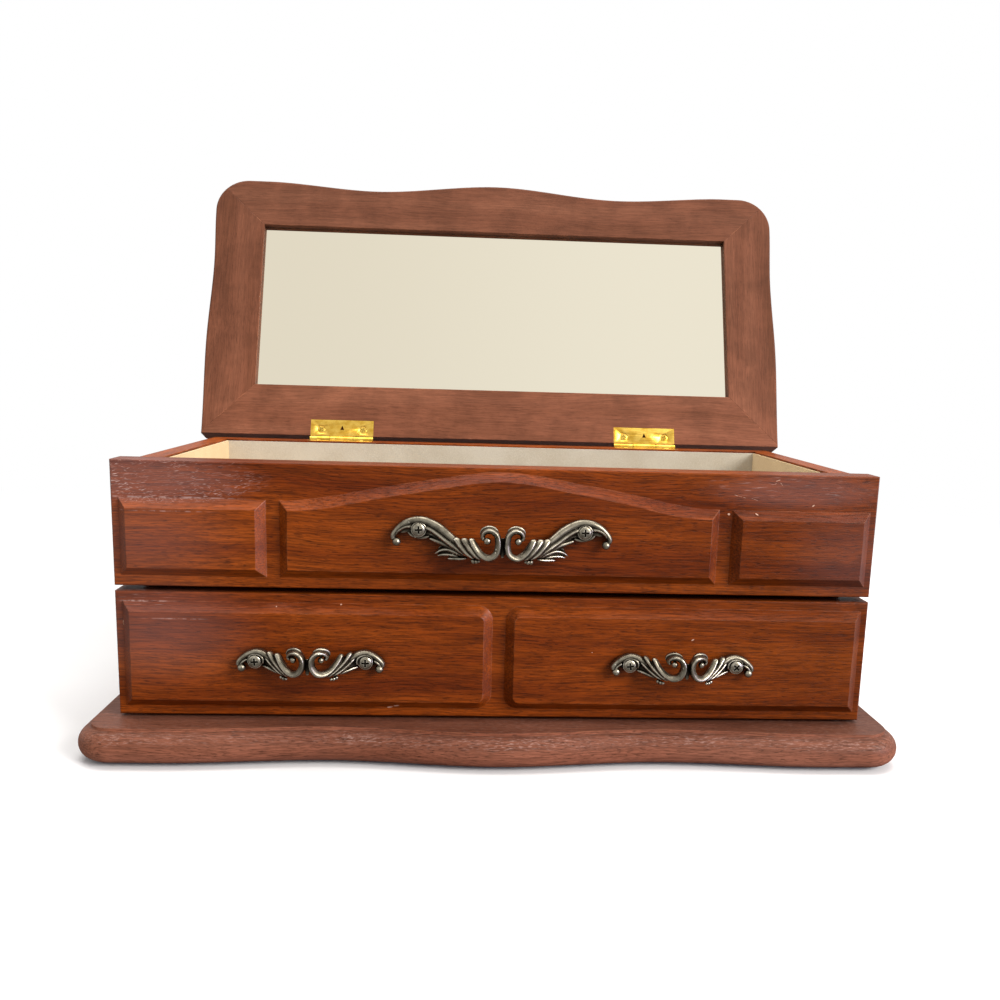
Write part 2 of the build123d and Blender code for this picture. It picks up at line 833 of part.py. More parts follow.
os.makedirs("parts", exist_ok=True)
for name, piece in {**case_nodes(), **lid_nodes(), **drawer_nodes()}.items():
    export_step(piece, f"parts/{name}.step")
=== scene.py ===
import math
import bpy
import bmesh
import numpy as np
from mathutils import Matrix, Vector


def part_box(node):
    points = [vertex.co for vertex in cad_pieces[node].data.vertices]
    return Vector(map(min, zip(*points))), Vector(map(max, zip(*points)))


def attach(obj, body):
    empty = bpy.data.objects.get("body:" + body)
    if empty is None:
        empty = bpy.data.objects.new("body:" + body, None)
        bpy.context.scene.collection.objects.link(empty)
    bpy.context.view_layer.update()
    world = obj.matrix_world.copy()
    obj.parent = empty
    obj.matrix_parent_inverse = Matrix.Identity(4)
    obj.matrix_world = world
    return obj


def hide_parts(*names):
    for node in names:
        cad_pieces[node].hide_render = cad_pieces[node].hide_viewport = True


# A wooden vanity box: a lined tray under a hinged mirror lid, one drawer below it, and a
# serpentine plinth.  Metres, +X to the right, -Y to the front, +Z up.

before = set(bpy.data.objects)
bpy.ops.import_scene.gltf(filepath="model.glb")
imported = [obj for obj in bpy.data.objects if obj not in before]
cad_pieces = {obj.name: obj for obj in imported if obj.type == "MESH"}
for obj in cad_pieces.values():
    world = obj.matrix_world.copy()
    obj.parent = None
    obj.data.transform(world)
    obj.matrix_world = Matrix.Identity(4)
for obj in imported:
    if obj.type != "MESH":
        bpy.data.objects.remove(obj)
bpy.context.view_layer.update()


# --------------------------------------------------------------------------- camera
# Stands a little left of the middle and above the tray, and looks slightly down at the box.

def add_object(name, data):
    """Puts a mesh, a lamp or the camera into the scene."""
    thing = bpy.data.objects.new(name, data)
    bpy.context.scene.collection.objects.link(thing)
    return thing


eye = Vector((-0.01353, -0.39530, 0.14442))
look_yaw, look_pitch, look_roll = (math.radians(a) for a in (3.2, -9.855, -1.67))
ahead = Vector((math.sin(look_yaw) * math.cos(look_pitch),
                math.cos(look_yaw) * math.cos(look_pitch), math.sin(look_pitch)))
sideways = Vector((math.cos(look_yaw), -math.sin(look_yaw), 0))
upright = sideways.cross(ahead)
right = math.cos(look_roll) * sideways - math.sin(look_roll) * upright
up = math.sin(look_roll) * sideways + math.cos(look_roll) * upright
lens = bpy.data.cameras.new("camera")
lens.sensor_width = 36.0
lens.lens = 34.195
lens.shift_x = -0.01687
lens.shift_y = 0.03753
lens.clip_start = 0.01
camera = add_object("camera", lens)
camera.matrix_world = (
    Matrix.Translation(eye) @ Matrix((right, up, -ahead)).transposed().to_4x4())
bpy.context.scene.camera = camera


# ------------------------------------------------------------------ floor and light
# A pale floor that runs out to white but throws little light back up, a white surround, and
# three soft boxes: one overhead, one high at the front right, a low, cool one beside it.

def join(tree, kind, settings=None, **sockets):
    """Adds a node; each socket takes a value or another node's output."""
    whole = kind.startswith(("GeometryNode", "FunctionNode", "ShaderNode"))
    node = tree.nodes.new(kind if whole else "ShaderNode" + kind)
    for key, value in (settings or {}).items():
        setattr(node, key, value)
    for key, value in sockets.items():
        index = int(key[1:]) if key[0] == "i" and key[1:].isdigit() else key.replace("_", " ")
        if isinstance(value, bpy.types.NodeSocket):
            tree.links.new(value, node.inputs[index])
        else:
            node.inputs[index].default_value = value
    return node


def calculate(tree, operation, a, b):
    return join(tree, "Math", {"operation": operation}, i0=a, i1=b).outputs[0]


def times(tree, first, *others):
    for other in others:
        first = calculate(tree, "MULTIPLY", first, other)
    return first


def either(tree, first, *others):
    """The largest of several shares."""
    for other in others:
        first = calculate(tree, "MAXIMUM", first, other)
    return first


def levels(tree, value, low, high, out_low=0.0, out_high=1.0):
    """Runs smoothly from one output to the other between two values."""
    return join(tree, "MapRange", {"interpolation_type": "SMOOTHSTEP"},
                i0=value, i1=low, i2=high, i3=out_low, i4=out_high).outputs[0]


def length_of(tree, vector):
    return join(tree, "VectorMath", {"operation": "LENGTH"}, i0=vector).outputs["Value"]


def own_place(tree):
    """Where a point lies on the piece itself."""
    return join(tree, "TexCoord").outputs["Object"]


def blank_material(name):
    material = bpy.data.materials.new(name)
    material.use_nodes = True
    material.node_tree.nodes.clear()
    return material, material.node_tree


def soft_box(name, place, target, size, power, colour):
    lamp = bpy.data.lights.new(name, "AREA")
    lamp.shape = "RECTANGLE"
    lamp.size, lamp.size_y = size
    lamp.energy = power
    lamp.color = colour
    direction = Vector(target) - Vector(place)
    add_object(name, lamp).matrix_world = (
        Matrix.Translation(place) @ direction.to_track_quat("-Z", "Y").to_matrix().to_4x4())


surround_glow, surround_seen = 0.62, 1.0
floor_bounce, floor_seen = 0.20, 0.85
floor_reach = 6.0
whiter_from, white_at = 0.22, 0.85

surround = bpy.data.worlds.new("surround")
surround.use_nodes = True
tree = surround.node_tree
tree.nodes.clear()
rays = join(tree, "LightPath").outputs
seen = either(tree, rays["Is Camera Ray"], rays["Is Glossy Ray"], rays["Is Transmission Ray"])
ambient = join(tree, "MapRange", i0=seen, i3=surround_glow, i4=surround_seen).outputs[0]
sky = join(tree, "Background", Color=(1, 1, 1, 1), Strength=ambient)
join(tree, "OutputWorld", Surface=sky.outputs[0])
bpy.context.scene.world = surround

floor_mesh = bpy.data.meshes.new("floor")
floor_mesh.from_pydata(
    [(-floor_reach, -floor_reach, 0), (floor_reach, -floor_reach, 0),
     (floor_reach, floor_reach, 0), (-floor_reach, floor_reach, 0)], [], [(0, 1, 2, 3)])
floor = add_object("floor", floor_mesh)
pale_floor, tree = blank_material("pale_floor")
far = levels(tree, length_of(tree, own_place(tree)), whiter_from, white_at)
rays = join(tree, "LightPath").outputs
straight = either(tree, rays["Is Camera Ray"], rays["Is Singular Ray"])
grey = join(tree, "MapRange", i0=straight, i3=floor_bounce, i4=floor_seen).outputs[0]
painted = join(tree, "BsdfDiffuse", Color=grey)
glow = join(tree, "Emission", Color=(1, 1, 1, 1), Strength=1.0)
both = join(tree, "MixShader", i0=times(tree, far, straight), i1=painted.outputs[0],
            i2=glow.outputs[0])
join(tree, "OutputMaterial", Surface=both.outputs[0])
floor.data.materials.append(pale_floor)

soft_box("overhead", (0.0, 0.11, 1.6), (0, 0.11, 0), (1.6, 1.0), 23.0, (1.0, 0.97, 0.94))
soft_box("front_right", (1.8, -1.45, 1.25), (0, 0, 0.08), (1.1, 1.1), 70.0, (1.0, 0.97, 0.94))
soft_box("side_right", (1.05, -0.58, 0.11), (0, -0.05, 0.08), (0.5, 0.25), 4.0,
         (0.62, 0.60, 1.0))


# ------------------------------------------------------------- case, drawer front, plinth
# Hardwood boards with open pores, stained walnut red and varnished satin: fields, arch and
# channels are moulded into the two front boards. Handling has rubbed the sharp edges thin and
# left a few nicks. The top border carries a painted sheen and painted glints towards both ends,
# and the boards are painted darker towards their right end (painted shade).

mm = 0.001


def mottle(tree, place, scale, detail=2.0, rough=0.5):
    return join(tree, "TexNoise", Vector=place, Scale=scale, Detail=detail,
                Roughness=rough).outputs["Fac"]


def streaks(tree, along, length, width, detail=2.0, rough=0.5):
    """Noise drawn out along the grain."""
    stretched = join(tree, "Mapping", Vector=along,
                     Scale=(1 / length, 1 / width, 1 / width)).outputs[0]
    return mottle(tree, stretched, 1.0, detail, rough)


def dimmed(tree, colour, share):
    return join(tree, "VectorMath", {"operation": "SCALE"}, i0=colour,
                Scale=share).outputs[0]


def blend_colour(tree, share, a, b):
    mix = join(tree, "Mix", {"data_type": "RGBA"}, i0=share)
    for index, value in ((6, a), (7, b)):
        if isinstance(value, bpy.types.NodeSocket):
            tree.links.new(value, mix.inputs[index])
        else:
            mix.inputs[index].default_value = (*value, 1)
    return mix.outputs[2]


def tone_ramp(tree, share, stops):
    """Colours between stops of (share, colour)."""
    node = join(tree, "ValToRGB", Fac=share)
    ramp = node.color_ramp.elements
    for end, (position, colour) in ((0, stops[0]), (1, stops[-1])):
        ramp[end].position, ramp[end].color = position, (*colour, 1)
    for position, colour in stops[1:-1]:
        ramp.new(position).color = (*colour, 1)
    return node.outputs[0]


def openness(tree, samples, reach):
    """1 on open surfaces, less in corners and recesses."""
    return join(tree, "AmbientOcclusion", {"samples": samples}, Distance=reach).outputs["AO"]


def raised(tree, height, strength, distance, **sockets):
    return join(tree, "Bump", Strength=strength, Distance=distance, Height=height,
                **sockets).outputs[0]


def cover(tree, **sockets):
    """The shader of a finish and its output."""
    surface = join(tree, "BsdfPrincipled", **sockets)
    join(tree, "OutputMaterial", Surface=surface.outputs[0])


def patch(tree, place, centre, reach, core):
    """1 inside an ellipsoid round a point of the piece, fading to 0 at its rim."""
    offset = join(tree, "VectorMath", {"operation": "SUBTRACT"}, i0=place,
                  i1=[c * mm for c in centre]).outputs[0]
    offset = join(tree, "VectorMath", {"operation": "DIVIDE"}, i0=offset,
                  i1=[r * mm for r in reach]).outputs[0]
    return levels(tree, length_of(tree, offset), core, 1.0, 1.0, 0.0)


# Length and width of the grain's marks, and how far it sways, in metres.
band_size, fibre_size = (0.13, 0.011), (0.017, 0.00062)
pore_size, line_size = (0.0036, 0.00030), (0.0100, 0.00040)
sway_reach = (0.0, 0.009, 0.009)
worn_edge, corner_reach, pore_relief = 0.5 * mm, 3.5 * mm, 0.25 * mm
bare_wood = (0.42, 0.16, 0.075)


def wood_finish(name, tones, grain="X", lid_turn=0.0, gloss=0.34, pore_depth=0.5,
                figure=1.15, varnish=0.22, corner_shade=0.42, right_wall_sheen=0.0, marks_and_light=None):
    """Stained wood: dark, middle and light tone, the axis its grain runs along, how strong
    its figure and varnish are, how dark its corners are painted (painted shade), how much
    stronger its coat is on walls that face right (a painted sheen), and what adds marks
    and painted light from the place on the piece."""
    material, tree = blank_material(name)
    place = own_place(tree)
    flat = join(tree, "Mapping", Vector=place, Rotation=(lid_turn, 0, 0)).outputs[0]
    turn = {"X": (0, 0, 0), "Y": (0, 0, -math.pi / 2)}[grain]
    along = join(tree, "Mapping", Vector=flat, Rotation=turn).outputs[0]
    sway = join(tree, "TexNoise", Vector=along, Scale=11.0, Detail=2.0).outputs["Color"]
    along = join(tree, "VectorMath", {"operation": "MULTIPLY_ADD"}, i0=sway,
                 i1=sway_reach, i2=along).outputs[0]

    bands = streaks(tree, along, *band_size)
    fibres = streaks(tree, along, *fibre_size, 4.0, 0.66)
    pores = streaks(tree, along, *pore_size, 1.0)
    lines = streaks(tree, along, *line_size, 1.0)
    tone = tone_ramp(tree, bands, [(0.30, tones[0]), (0.5, tones[1]), (0.70, tones[2])])
    fibre = levels(tree, fibres, 0.28, 0.72, 1.0 - 0.42 * figure, 1.0 + 0.34 * figure)
    pore = levels(tree, pores, 0.56, 0.70, 1.0, 1.0 - pore_depth)
    line = levels(tree, lines, 0.57, 0.70, 1.0, 1.0 - 0.6 * pore_depth)
    relief = times(tree, pore, line)
    colour = dimmed(tree, tone, times(tree, fibre, relief))

    rounded = join(tree, "Bevel", {"samples": 6}, Radius=worn_edge).outputs[0]
    facing = join(tree, "NewGeometry").outputs["Normal"]
    square = join(tree, "VectorMath", {"operation": "DOT_PRODUCT"},
                  i0=rounded, i1=facing).outputs["Value"]
    edge = levels(tree, square, 0.90, 0.995, 1.0, 0.0)
    patchy = mottle(tree, place, 160.0, 3.0)
    rubbed = times(tree, edge, levels(tree, patchy, 0.42, 0.66, 0.0, 0.55))
    colour = blend_colour(tree, rubbed, colour, bare_wood)
    open_sky = openness(tree, 6, corner_reach)
    # Painted shade: the wood is darkened in its corners and recesses.
    colour = dimmed(tree, colour, levels(tree, open_sky, 0.35, 0.85, corner_shade, 1.0))
    # The coat fades out in corners and recesses, a painted shade over its reflections, and is
    # stronger on walls that face right, a painted sheen.
    wall = join(tree, "SeparateXYZ", Vector=facing).outputs[0]
    coated = times(tree, levels(tree, open_sky, 0.15, 0.40, 0.0, varnish),
                   levels(tree, wall, 0.35, 0.60, 1.0, 1.0 + right_wall_sheen))
    roughness = levels(tree, patchy, 0.3, 0.7, gloss - 0.05, gloss + 0.05)
    if marks_and_light:
        colour, roughness, relief = marks_and_light(tree, place, colour, roughness, relief)
    bumpy = raised(tree, relief, 0.35, pore_relief, Normal=rounded)
    cover(tree, Base_Color=colour, Roughness=0.6, Normal=bumpy, Specular_IOR_Level=0.08,
          Specular_Tint=(1.0, 0.44, 0.20, 1.0), Coat_Weight=coated,
          Coat_Roughness=roughness, Coat_Normal=bumpy)
    return material


def dress(material, *names):
    """Gives CAD pieces their finish."""
    for name in names:
        piece = cad_pieces[name]
        piece.data.materials.clear()
        piece.data.materials.append(material)


# Nicks of the front boards: (x, z, half length, half height, tilt, how pale), in millimetres
# and degrees.
front_nicks = [
    (101.9, 107.8, 1.5, 0.28, 20, 0.55), (103.3, 106.5, 1.2, 0.28, -50, 0.5),
    (101.0, 106.4, 0.9, 0.25, 60, 0.45), (115.8, 98.6, 1.1, 0.35, 35, 0.7),
    (94.4, 95.2, 0.9, 0.35, -30, 0.6), (84.3, 94.9, 0.7, 0.55, 0, 1.0),
    (88.0, 101.6, 4.2, 0.16, -14, 0.5), (93.6, 100.6, 2.6, 0.14, -20, 0.4),
    (72.8, 47.4, 0.9, 0.35, 30, 0.9), (-40.3, 18.8, 1.6, 0.55, 14, 1.0),
    (-37.9, 19.6, 1.5, 0.5, 16, 1.0), (-58.5, 58.2, 0.5, 0.35, 0, 0.6),
    (-82.0, 57.3, 0.5, 0.35, 0, 0.5), (-137.6, 50.2, 0.5, 1.6, 0, 0.5),
    (35.0, 42.0, 0.5, 0.3, 0, 0.6)]
nick_plane, nick_reach = -0.052, 8 * mm

# Pale lines along the edges of the mouldings towards the left: rubbed edges with a painted
# highlight. Middle and reach, in millimetres.
rubbed_lit_edges = [((-122, -51, 96.7), (34, 3, 0.55)), ((-120, -53, 92.2), (24, 3, 0.45)),
              ((-130, -51, 58.4), (13, 3, 0.45)), ((-118, -53, 52.7), (18, 3, 0.45))]

# Tints of the painted sheen, of the painted glints and highlights, and of fresh nicks.
sheen_tint, glint_tint, fresh_nick = (0.34, 0.20, 0.19), (0.64, 0.44, 0.38), (0.60, 0.37, 0.26)


def nick(tree, place, x, z, length, height, tilt, paleness):
    """One small dent or scratch of a front board, turned by its tilt."""
    laid = join(tree, "Mapping", {"vector_type": "TEXTURE"}, Vector=place,
                Location=(x * mm, nick_plane, z * mm), Rotation=(0, math.radians(-tilt), 0),
                Scale=(length * mm, nick_reach, height * mm)).outputs[0]
    return levels(tree, length_of(tree, laid), 0.35, 1.0, paleness, 0.0)


def glint_strokes(tree, place, tilt, length, width):
    """Short painted glints, drawn like fine pale scratches, that lean by the tilt, in degrees.
    """
    leaning = join(tree, "Mapping", Vector=place,
                   Rotation=(0, math.radians(tilt), 0)).outputs[0]
    return levels(tree, streaks(tree, leaning, length, width, 1.0), 0.65, 0.74)


def front_wear_and_sheen(tree, place, colour, roughness, relief):
    """Painted sheen and painted glints on the borders, painted highlights along rubbed edges,
    nicks, and painted shade towards the right end.
    """
    bruise_sheen = patch(tree, place, (-98.8, -52, 99.8), (3.6, 8, 3.0), 0.1)
    across = join(tree, "SeparateXYZ", Vector=place).outputs[0]
    # Painted shade: the boards darken towards their right end.
    colour = dimmed(tree, colour, levels(tree, across, 0.03, 0.14, 1.0, 0.72))
    # Painted sheen towards both ends of the top border and on the end fields, and on a bruise.
    sheen_patches = either(
        tree, patch(tree, place, (-132, -51, 103), (52, 20, 12), 0.3), bruise_sheen,
        times(tree, patch(tree, place, (112, -51, 104), (44, 20, 9), 0.3), 0.7),
        times(tree, patch(tree, place, (-132, -51, 82), (48, 20, 26), 0.1), 0.6),
        times(tree, patch(tree, place, (-126, -51, 48), (46, 20, 26), 0.1), 0.75),
        times(tree, patch(tree, place, (132, -51, 80), (34, 20, 26), 0.1), 0.4))
    colour = blend_colour(tree, times(tree, sheen_patches, 0.26), colour, sheen_tint)
    # Painted glints: fine pale strokes along the pores, slanting on the left and level on the
    # right.
    left = either(tree, patch(tree, place, (-130, -51, 103), (50, 4, 11), 0.55), bruise_sheen)
    right = either(
        tree, patch(tree, place, (108, -51, 105), (42, 4, 6.0), 0.4),
        times(tree, patch(tree, place, (-134, -52, 59.5), (24, 4, 4.0), 0.3), 0.8))
    slanted_glints = either(
        tree, glint_strokes(tree, place, 20, 0.0026, 0.00027),
        glint_strokes(tree, place, -10, 0.0030, 0.00025), glint_strokes(tree, place, 5, 0.0036, 0.00024))
    level_glints = glint_strokes(tree, place, 2, 0.0060, 0.00022)
    glints_and_highlights = either(tree, times(tree, slanted_glints, left),
                       times(tree, level_glints, right, 0.75))
    thinned = mottle(tree, place, 130.0)
    glints_and_highlights = times(tree, glints_and_highlights, levels(tree, thinned, 0.35, 0.6, 0.2, 0.8))
    # Painted highlights along the rubbed edges of the left mouldings.
    rubbed_highlights = either(tree, *[patch(tree, place, centre, reach, 0.3)
                                for centre, reach in rubbed_lit_edges])
    broken = levels(tree, mottle(tree, place, 420.0, 3.0), 0.38, 0.64, 0.0, 0.5)
    glints_and_highlights = either(tree, glints_and_highlights, times(tree, rubbed_highlights, broken))
    colour = blend_colour(tree, glints_and_highlights, colour, glint_tint)
    worn = either(tree, *[nick(tree, place, *values) for values in front_nicks])
    ragged = mottle(tree, place, 1400.0)
    worn = levels(tree, times(tree, worn, ragged), 0.12, 0.30)
    colour = blend_colour(tree, worn, colour, fresh_nick)
    return colour, roughness, calculate(tree, "SUBTRACT", relief, worn)


def plinth_shading_and_dust(tree, place, colour, roughness, relief):
    """Painted light: the nose is painted paler at its front and underneath and darker on its
    top and towards the right end; dust lies on the upward faces, heaviest on the nose's
    shoulder, where it also stands for a painted sheen.
    """
    across = join(tree, "SeparateXYZ", Vector=place).outputs[0]
    facing = join(tree, "NewGeometry").outputs["Normal"]
    upward = join(tree, "SeparateXYZ", Vector=facing).outputs[2]
    dust = streaks(tree, place, 0.0022, 0.0005, 3.0, 0.6)
    drift = mottle(tree, place, 45.0, 3.0)
    dust_and_sheen = times(tree, levels(tree, upward, 0.15, 0.6),
                  levels(tree, upward, 0.8, 0.97, 1.0, 0.45),
                  levels(tree, dust, 0.48, 0.72), levels(tree, drift, 0.35, 0.7, 0.25, 0.8))
    # Painted light: paler at the front and underneath, darker on the top and towards the right
    # end.
    painted_shading = times(tree, levels(tree, upward, -0.10, 0.40, 1.12, 0.74),
                  levels(tree, upward, 0.75, 0.97, 1.0, 0.78),
                  levels(tree, across, 0.03, 0.15, 1.0, 0.84),
                  levels(tree, upward, -0.75, -0.15, 1.45, 1.0))
    colour = blend_colour(tree, times(tree, dust_and_sheen, 0.6), dimmed(tree, colour, painted_shading),
                          (0.54, 0.34, 0.28))
    roughness = join(tree, "Math", {"operation": "MULTIPLY_ADD"}, i0=dust_and_sheen, i1=0.2,
                     i2=roughness).outputs[0]
    return colour, roughness, relief


walnut = [(0.122, 0.0190, 0.0018), (0.198, 0.0360, 0.0028), (0.268, 0.054, 0.0048)]
rosy_walnut = [(0.198, 0.064, 0.034), (0.256, 0.089, 0.050), (0.314, 0.116, 0.068)]
front_wood = wood_finish("front_wood", walnut, right_wall_sheen=3.0, marks_and_light=front_wear_and_sheen)
plinth_wood = wood_finish("plinth_wood", rosy_walnut, gloss=0.40, figure=0.8, corner_shade=0.8,
                          marks_and_light=plinth_shading_and_dust)
side_wood = wood_finish("side_wood", walnut, grain="Y")
back_wood = wood_finish("back_wood", walnut, gloss=0.42)
dress(front_wood, "upper_front", "drawer_front")
dress(plinth_wood, "base_plinth")
dress(side_wood, "side_left", "side_right")
dress(back_wood, "back_panel")


# ------------------------------------------------------------------ lid frame and board
# The mirror frame is four mitred members of the same wood with a duller, rosier finish;
# the outer board behind it closes the lid. The grain follows each member.

def lid_shading_and_mottle(tree, place, colour, roughness, relief):
    """Painted light: the frame is painted paler towards the hinges; it is also a little mottled
    all over.
    """
    height = join(tree, "SeparateXYZ", Vector=place).outputs[2]
    mottled = mottle(tree, place, 55.0, 4.0, 0.6)
    painted_lift = times(tree, levels(tree, height, 0.112, 0.185, 1.30, 1.0),
                  levels(tree, mottled, 0.36, 0.62, 0.86, 1.12))
    return dimmed(tree, colour, painted_lift), roughness, relief


lid_open = math.radians(110)
lid_tones = [(0.110, 0.039, 0.0195), (0.142, 0.051, 0.027), (0.172, 0.065, 0.035)]
dull = {"lid_turn": lid_open, "gloss": 0.5, "pore_depth": 0.2, "figure": 0.5,
        "varnish": 0.10, "marks_and_light": lid_shading_and_mottle}
rail_wood = wood_finish("rail_wood", lid_tones, **dull)
stile_wood = wood_finish("stile_wood", lid_tones, "Y", **dull)
board_wood = wood_finish("board_wood", walnut, lid_turn=lid_open)
dress(rail_wood, "lid_rail_front", "lid_rail_rear")
dress(stile_wood, "lid_stile_left", "lid_stile_right")
dress(board_wood, "lid_board")


# --------------------------------------------------------------------------- mirror
# Thin float glass, silvered at the back, held in the frame's rabbet by a thin backing board
# of bare wood. Its warm cream colour, darker towards the left, is a painted reflection.

silvering, tree = blank_material("silvering")
across = join(tree, "SeparateXYZ", Vector=own_place(tree)).outputs[0]
painted_reflection = blend_colour(tree, levels(tree, across, -0.12, 0.10), (0.755, 0.690, 0.545),
                    (0.835, 0.775, 0.625))
cover(tree, Base_Color=painted_reflection, Roughness=0.0, Metallic=1.0)
dress(silvering, "mirror_glass")


# ------------------------------------------------------------------ inner wood and felt
# The drawer box, the tray's panel and the mirror's backing are plain, pale, unvarnished
# wood; brown felt is glued under the plinth.

pale_tones = [(0.40, 0.25, 0.13), (0.47, 0.31, 0.17), (0.53, 0.37, 0.21)]
bare = {"gloss": 0.65, "pore_depth": 0.18, "figure": 0.5, "varnish": 0.0}
inner_wood = wood_finish("inner_wood", pale_tones, **bare)
inner_side = wood_finish("inner_side", pale_tones, "Y", **bare)
dress(inner_wood, "drawer_back", "drawer_bottom", "tray_floor", "mirror_backing")
dress(inner_side, "drawer_side_left", "drawer_side_right")

felt, tree = blank_material("felt")
fuzz = mottle(tree, own_place(tree), 1500.0, 3.0)
colour = blend_colour(tree, levels(tree, fuzz, 0.3, 0.7), (0.050, 0.026, 0.016),
                      (0.11, 0.060, 0.040))
cover(tree, Base_Color=colour, Roughness=0.95, Specular_IOR_Level=0.2, Sheen_Weight=0.4,
      Normal=raised(tree, fuzz, 0.6, 0.3 * mm))
dress(felt, "underside_felt")


# ------------------------------------------------------------------- tray and drawer lining
# Cream flocked paper on card: cut cards line the walls and floor of the tray, cover its two
# dividers and lie in the drawer. The cards at the tray's ends are painted yellower, a painted
# warm light.

def flocked(name, shaded, lit):
    """Flocked card in two tones, with a fine nap."""
    material, tree = blank_material(name)
    place = own_place(tree)
    fine = mottle(tree, place, 2600.0)
    brushed = mottle(tree, place, 60.0, 4.0)
    mottled = join(tree, "Math", {"operation": "MULTIPLY_ADD"}, i0=fine, i1=0.45,
                   i2=times(tree, brushed, 0.55)).outputs[0]
    colour = blend_colour(tree, levels(tree, mottled, 0.32, 0.66), shaded, lit)
    cover(tree, Base_Color=colour, Roughness=0.9, Specular_IOR_Level=0.2, Sheen_Weight=0.25,
          Sheen_Roughness=0.5, Normal=raised(tree, fine, 0.5, 0.15 * mm))
    return material


cream_card = flocked("cream_card", (0.46, 0.40, 0.31), (0.54, 0.49, 0.40))
warm_lit_card = flocked("warm_lit_card", (0.62, 0.44, 0.22), (0.72, 0.53, 0.28))
dress(cream_card, "tray_floor_lining", "front_lining", "rear_lining", "ring_bay_divider",
      "tray_divider", "drawer_lining")
dress(warm_lit_card, "left_lining", "right_lining")


# ----------------------------------------------------------------------- ring rolls
# Six foam rolls wrapped in cream velvet stand side by side in the ring bay, glued to its
# floor: each swells against its neighbours and against the bay's ends.

roll_count, roll_rings, roll_sides = 6, 26, 28
roll_inset = 0.9 * mm
end_pinch, end_sharpness = 0.35, 9
flank_round, top_round, foot_round = 0.55, 0.8, 0.35
cloth_mesh, glue_height, swell_cap = 1.5 * mm, 0.8 * mm, 1.3 * mm
foam_pressure, uneven_pressure = 4.0, 0.3
swell_steps = 20


def skin_loops(shape, loops):
    """Joins rings of vertices into a closed skin with flat ends."""
    for near, far in zip(loops, loops[1:]):
        for k in range(len(near)):
            n = (k + 1) % len(near)
            shape.faces.new((near[k], near[n], far[n], far[k]))
    shape.faces.new(loops[0][::-1])
    shape.faces.new(loops[-1])


def roll_form(low, high):
    """The roll before its foam swells: a flat foot, a round top and soft ends."""
    low = low + Vector((roll_inset, roll_inset * 0.6, 0))
    high = high - Vector((roll_inset, roll_inset * 0.6, roll_inset))
    middle, half = (low.y + high.y) / 2, (high.y - low.y) / 2
    centre = (low.z + high.z) / 2
    form = bmesh.new()
    loops = []
    for i in range(roll_rings + 1):
        share = i / roll_rings
        x = low.x + (high.x - low.x) * share
        pinch = 1 - end_pinch * (abs(2 * share - 1) ** end_sharpness)
        loop = []
        for k in range(roll_sides):
            angle = 2 * math.pi * k / roll_sides
            y = math.copysign(abs(math.cos(angle)) ** flank_round,
                              math.cos(angle)) * half * pinch
            rise = math.sin(angle)
            rise = rise ** top_round if rise > 0 else -abs(rise) ** foot_round
            z = centre + rise * (high.z - low.z) / 2 * (pinch if rise > 0 else 1)
            loop.append(form.verts.new((x, middle + y, z)))
        loops.append(loop)
    skin_loops(form, loops)
    bmesh.ops.recalc_face_normals(form, faces=form.faces)
    return form


def add_shape(name, shape):
    """A new object from a bmesh, which is used up."""
    mesh = bpy.data.meshes.new(name)
    shape.to_mesh(mesh)
    shape.free()
    return add_object(name, mesh)


def settle(piece):
    """Turns the result of a piece's modifiers into its plain mesh."""
    graph = bpy.context.evaluated_depsgraph_get()
    mesh = bpy.data.meshes.new_from_object(piece.evaluated_get(graph))
    piece.modifiers.clear()
    piece.data = mesh
    mesh.name = piece.name
    return mesh


velvet, tree = blank_material("cream_velvet")
place = own_place(tree)
pile = mottle(tree, place, 1900.0)
stroked = mottle(tree, place, 95.0, 4.0, 0.6)
colour = blend_colour(tree, levels(tree, stroked, 0.36, 0.62), (0.50, 0.39, 0.26),
                      (0.66, 0.55, 0.40))
cover(tree, Base_Color=colour, Roughness=0.85, Specular_IOR_Level=0.2, Sheen_Weight=0.6,
      Sheen_Roughness=0.4, Normal=raised(tree, pile, 0.5, 0.2 * mm))

padding = []
for number in range(1, roll_count + 1):
    low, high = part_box(f"ring_roll_{number}")
    roll = add_shape(f"padded_roll_{number}", roll_form(low, high))
    voxels = roll.modifiers.new("even", "REMESH")
    voxels.mode = "VOXEL"
    voxels.voxel_size = cloth_mesh
    even = settle(roll)
    glued = roll.vertex_groups.new(name="glued")
    glued.add([v.index for v in even.vertices if v.co.z < low.z + glue_height], 1.0,
              "REPLACE")
    padding.append((roll, low, high, [v.co.copy() for v in even.vertices]))
    cloth = roll.modifiers.new("swell", "CLOTH")
    cloth.settings.use_pressure = True
    cloth.settings.uniform_pressure_force = (
        foam_pressure + uneven_pressure * (number % 3))
    cloth.settings.effector_weights.gravity = 0.0
    cloth.settings.vertex_group_mass = "glued"
    cloth.settings.tension_stiffness = 12
    cloth.settings.bending_stiffness = 0.4
    cloth.point_cache.frame_start, cloth.point_cache.frame_end = 1, swell_steps

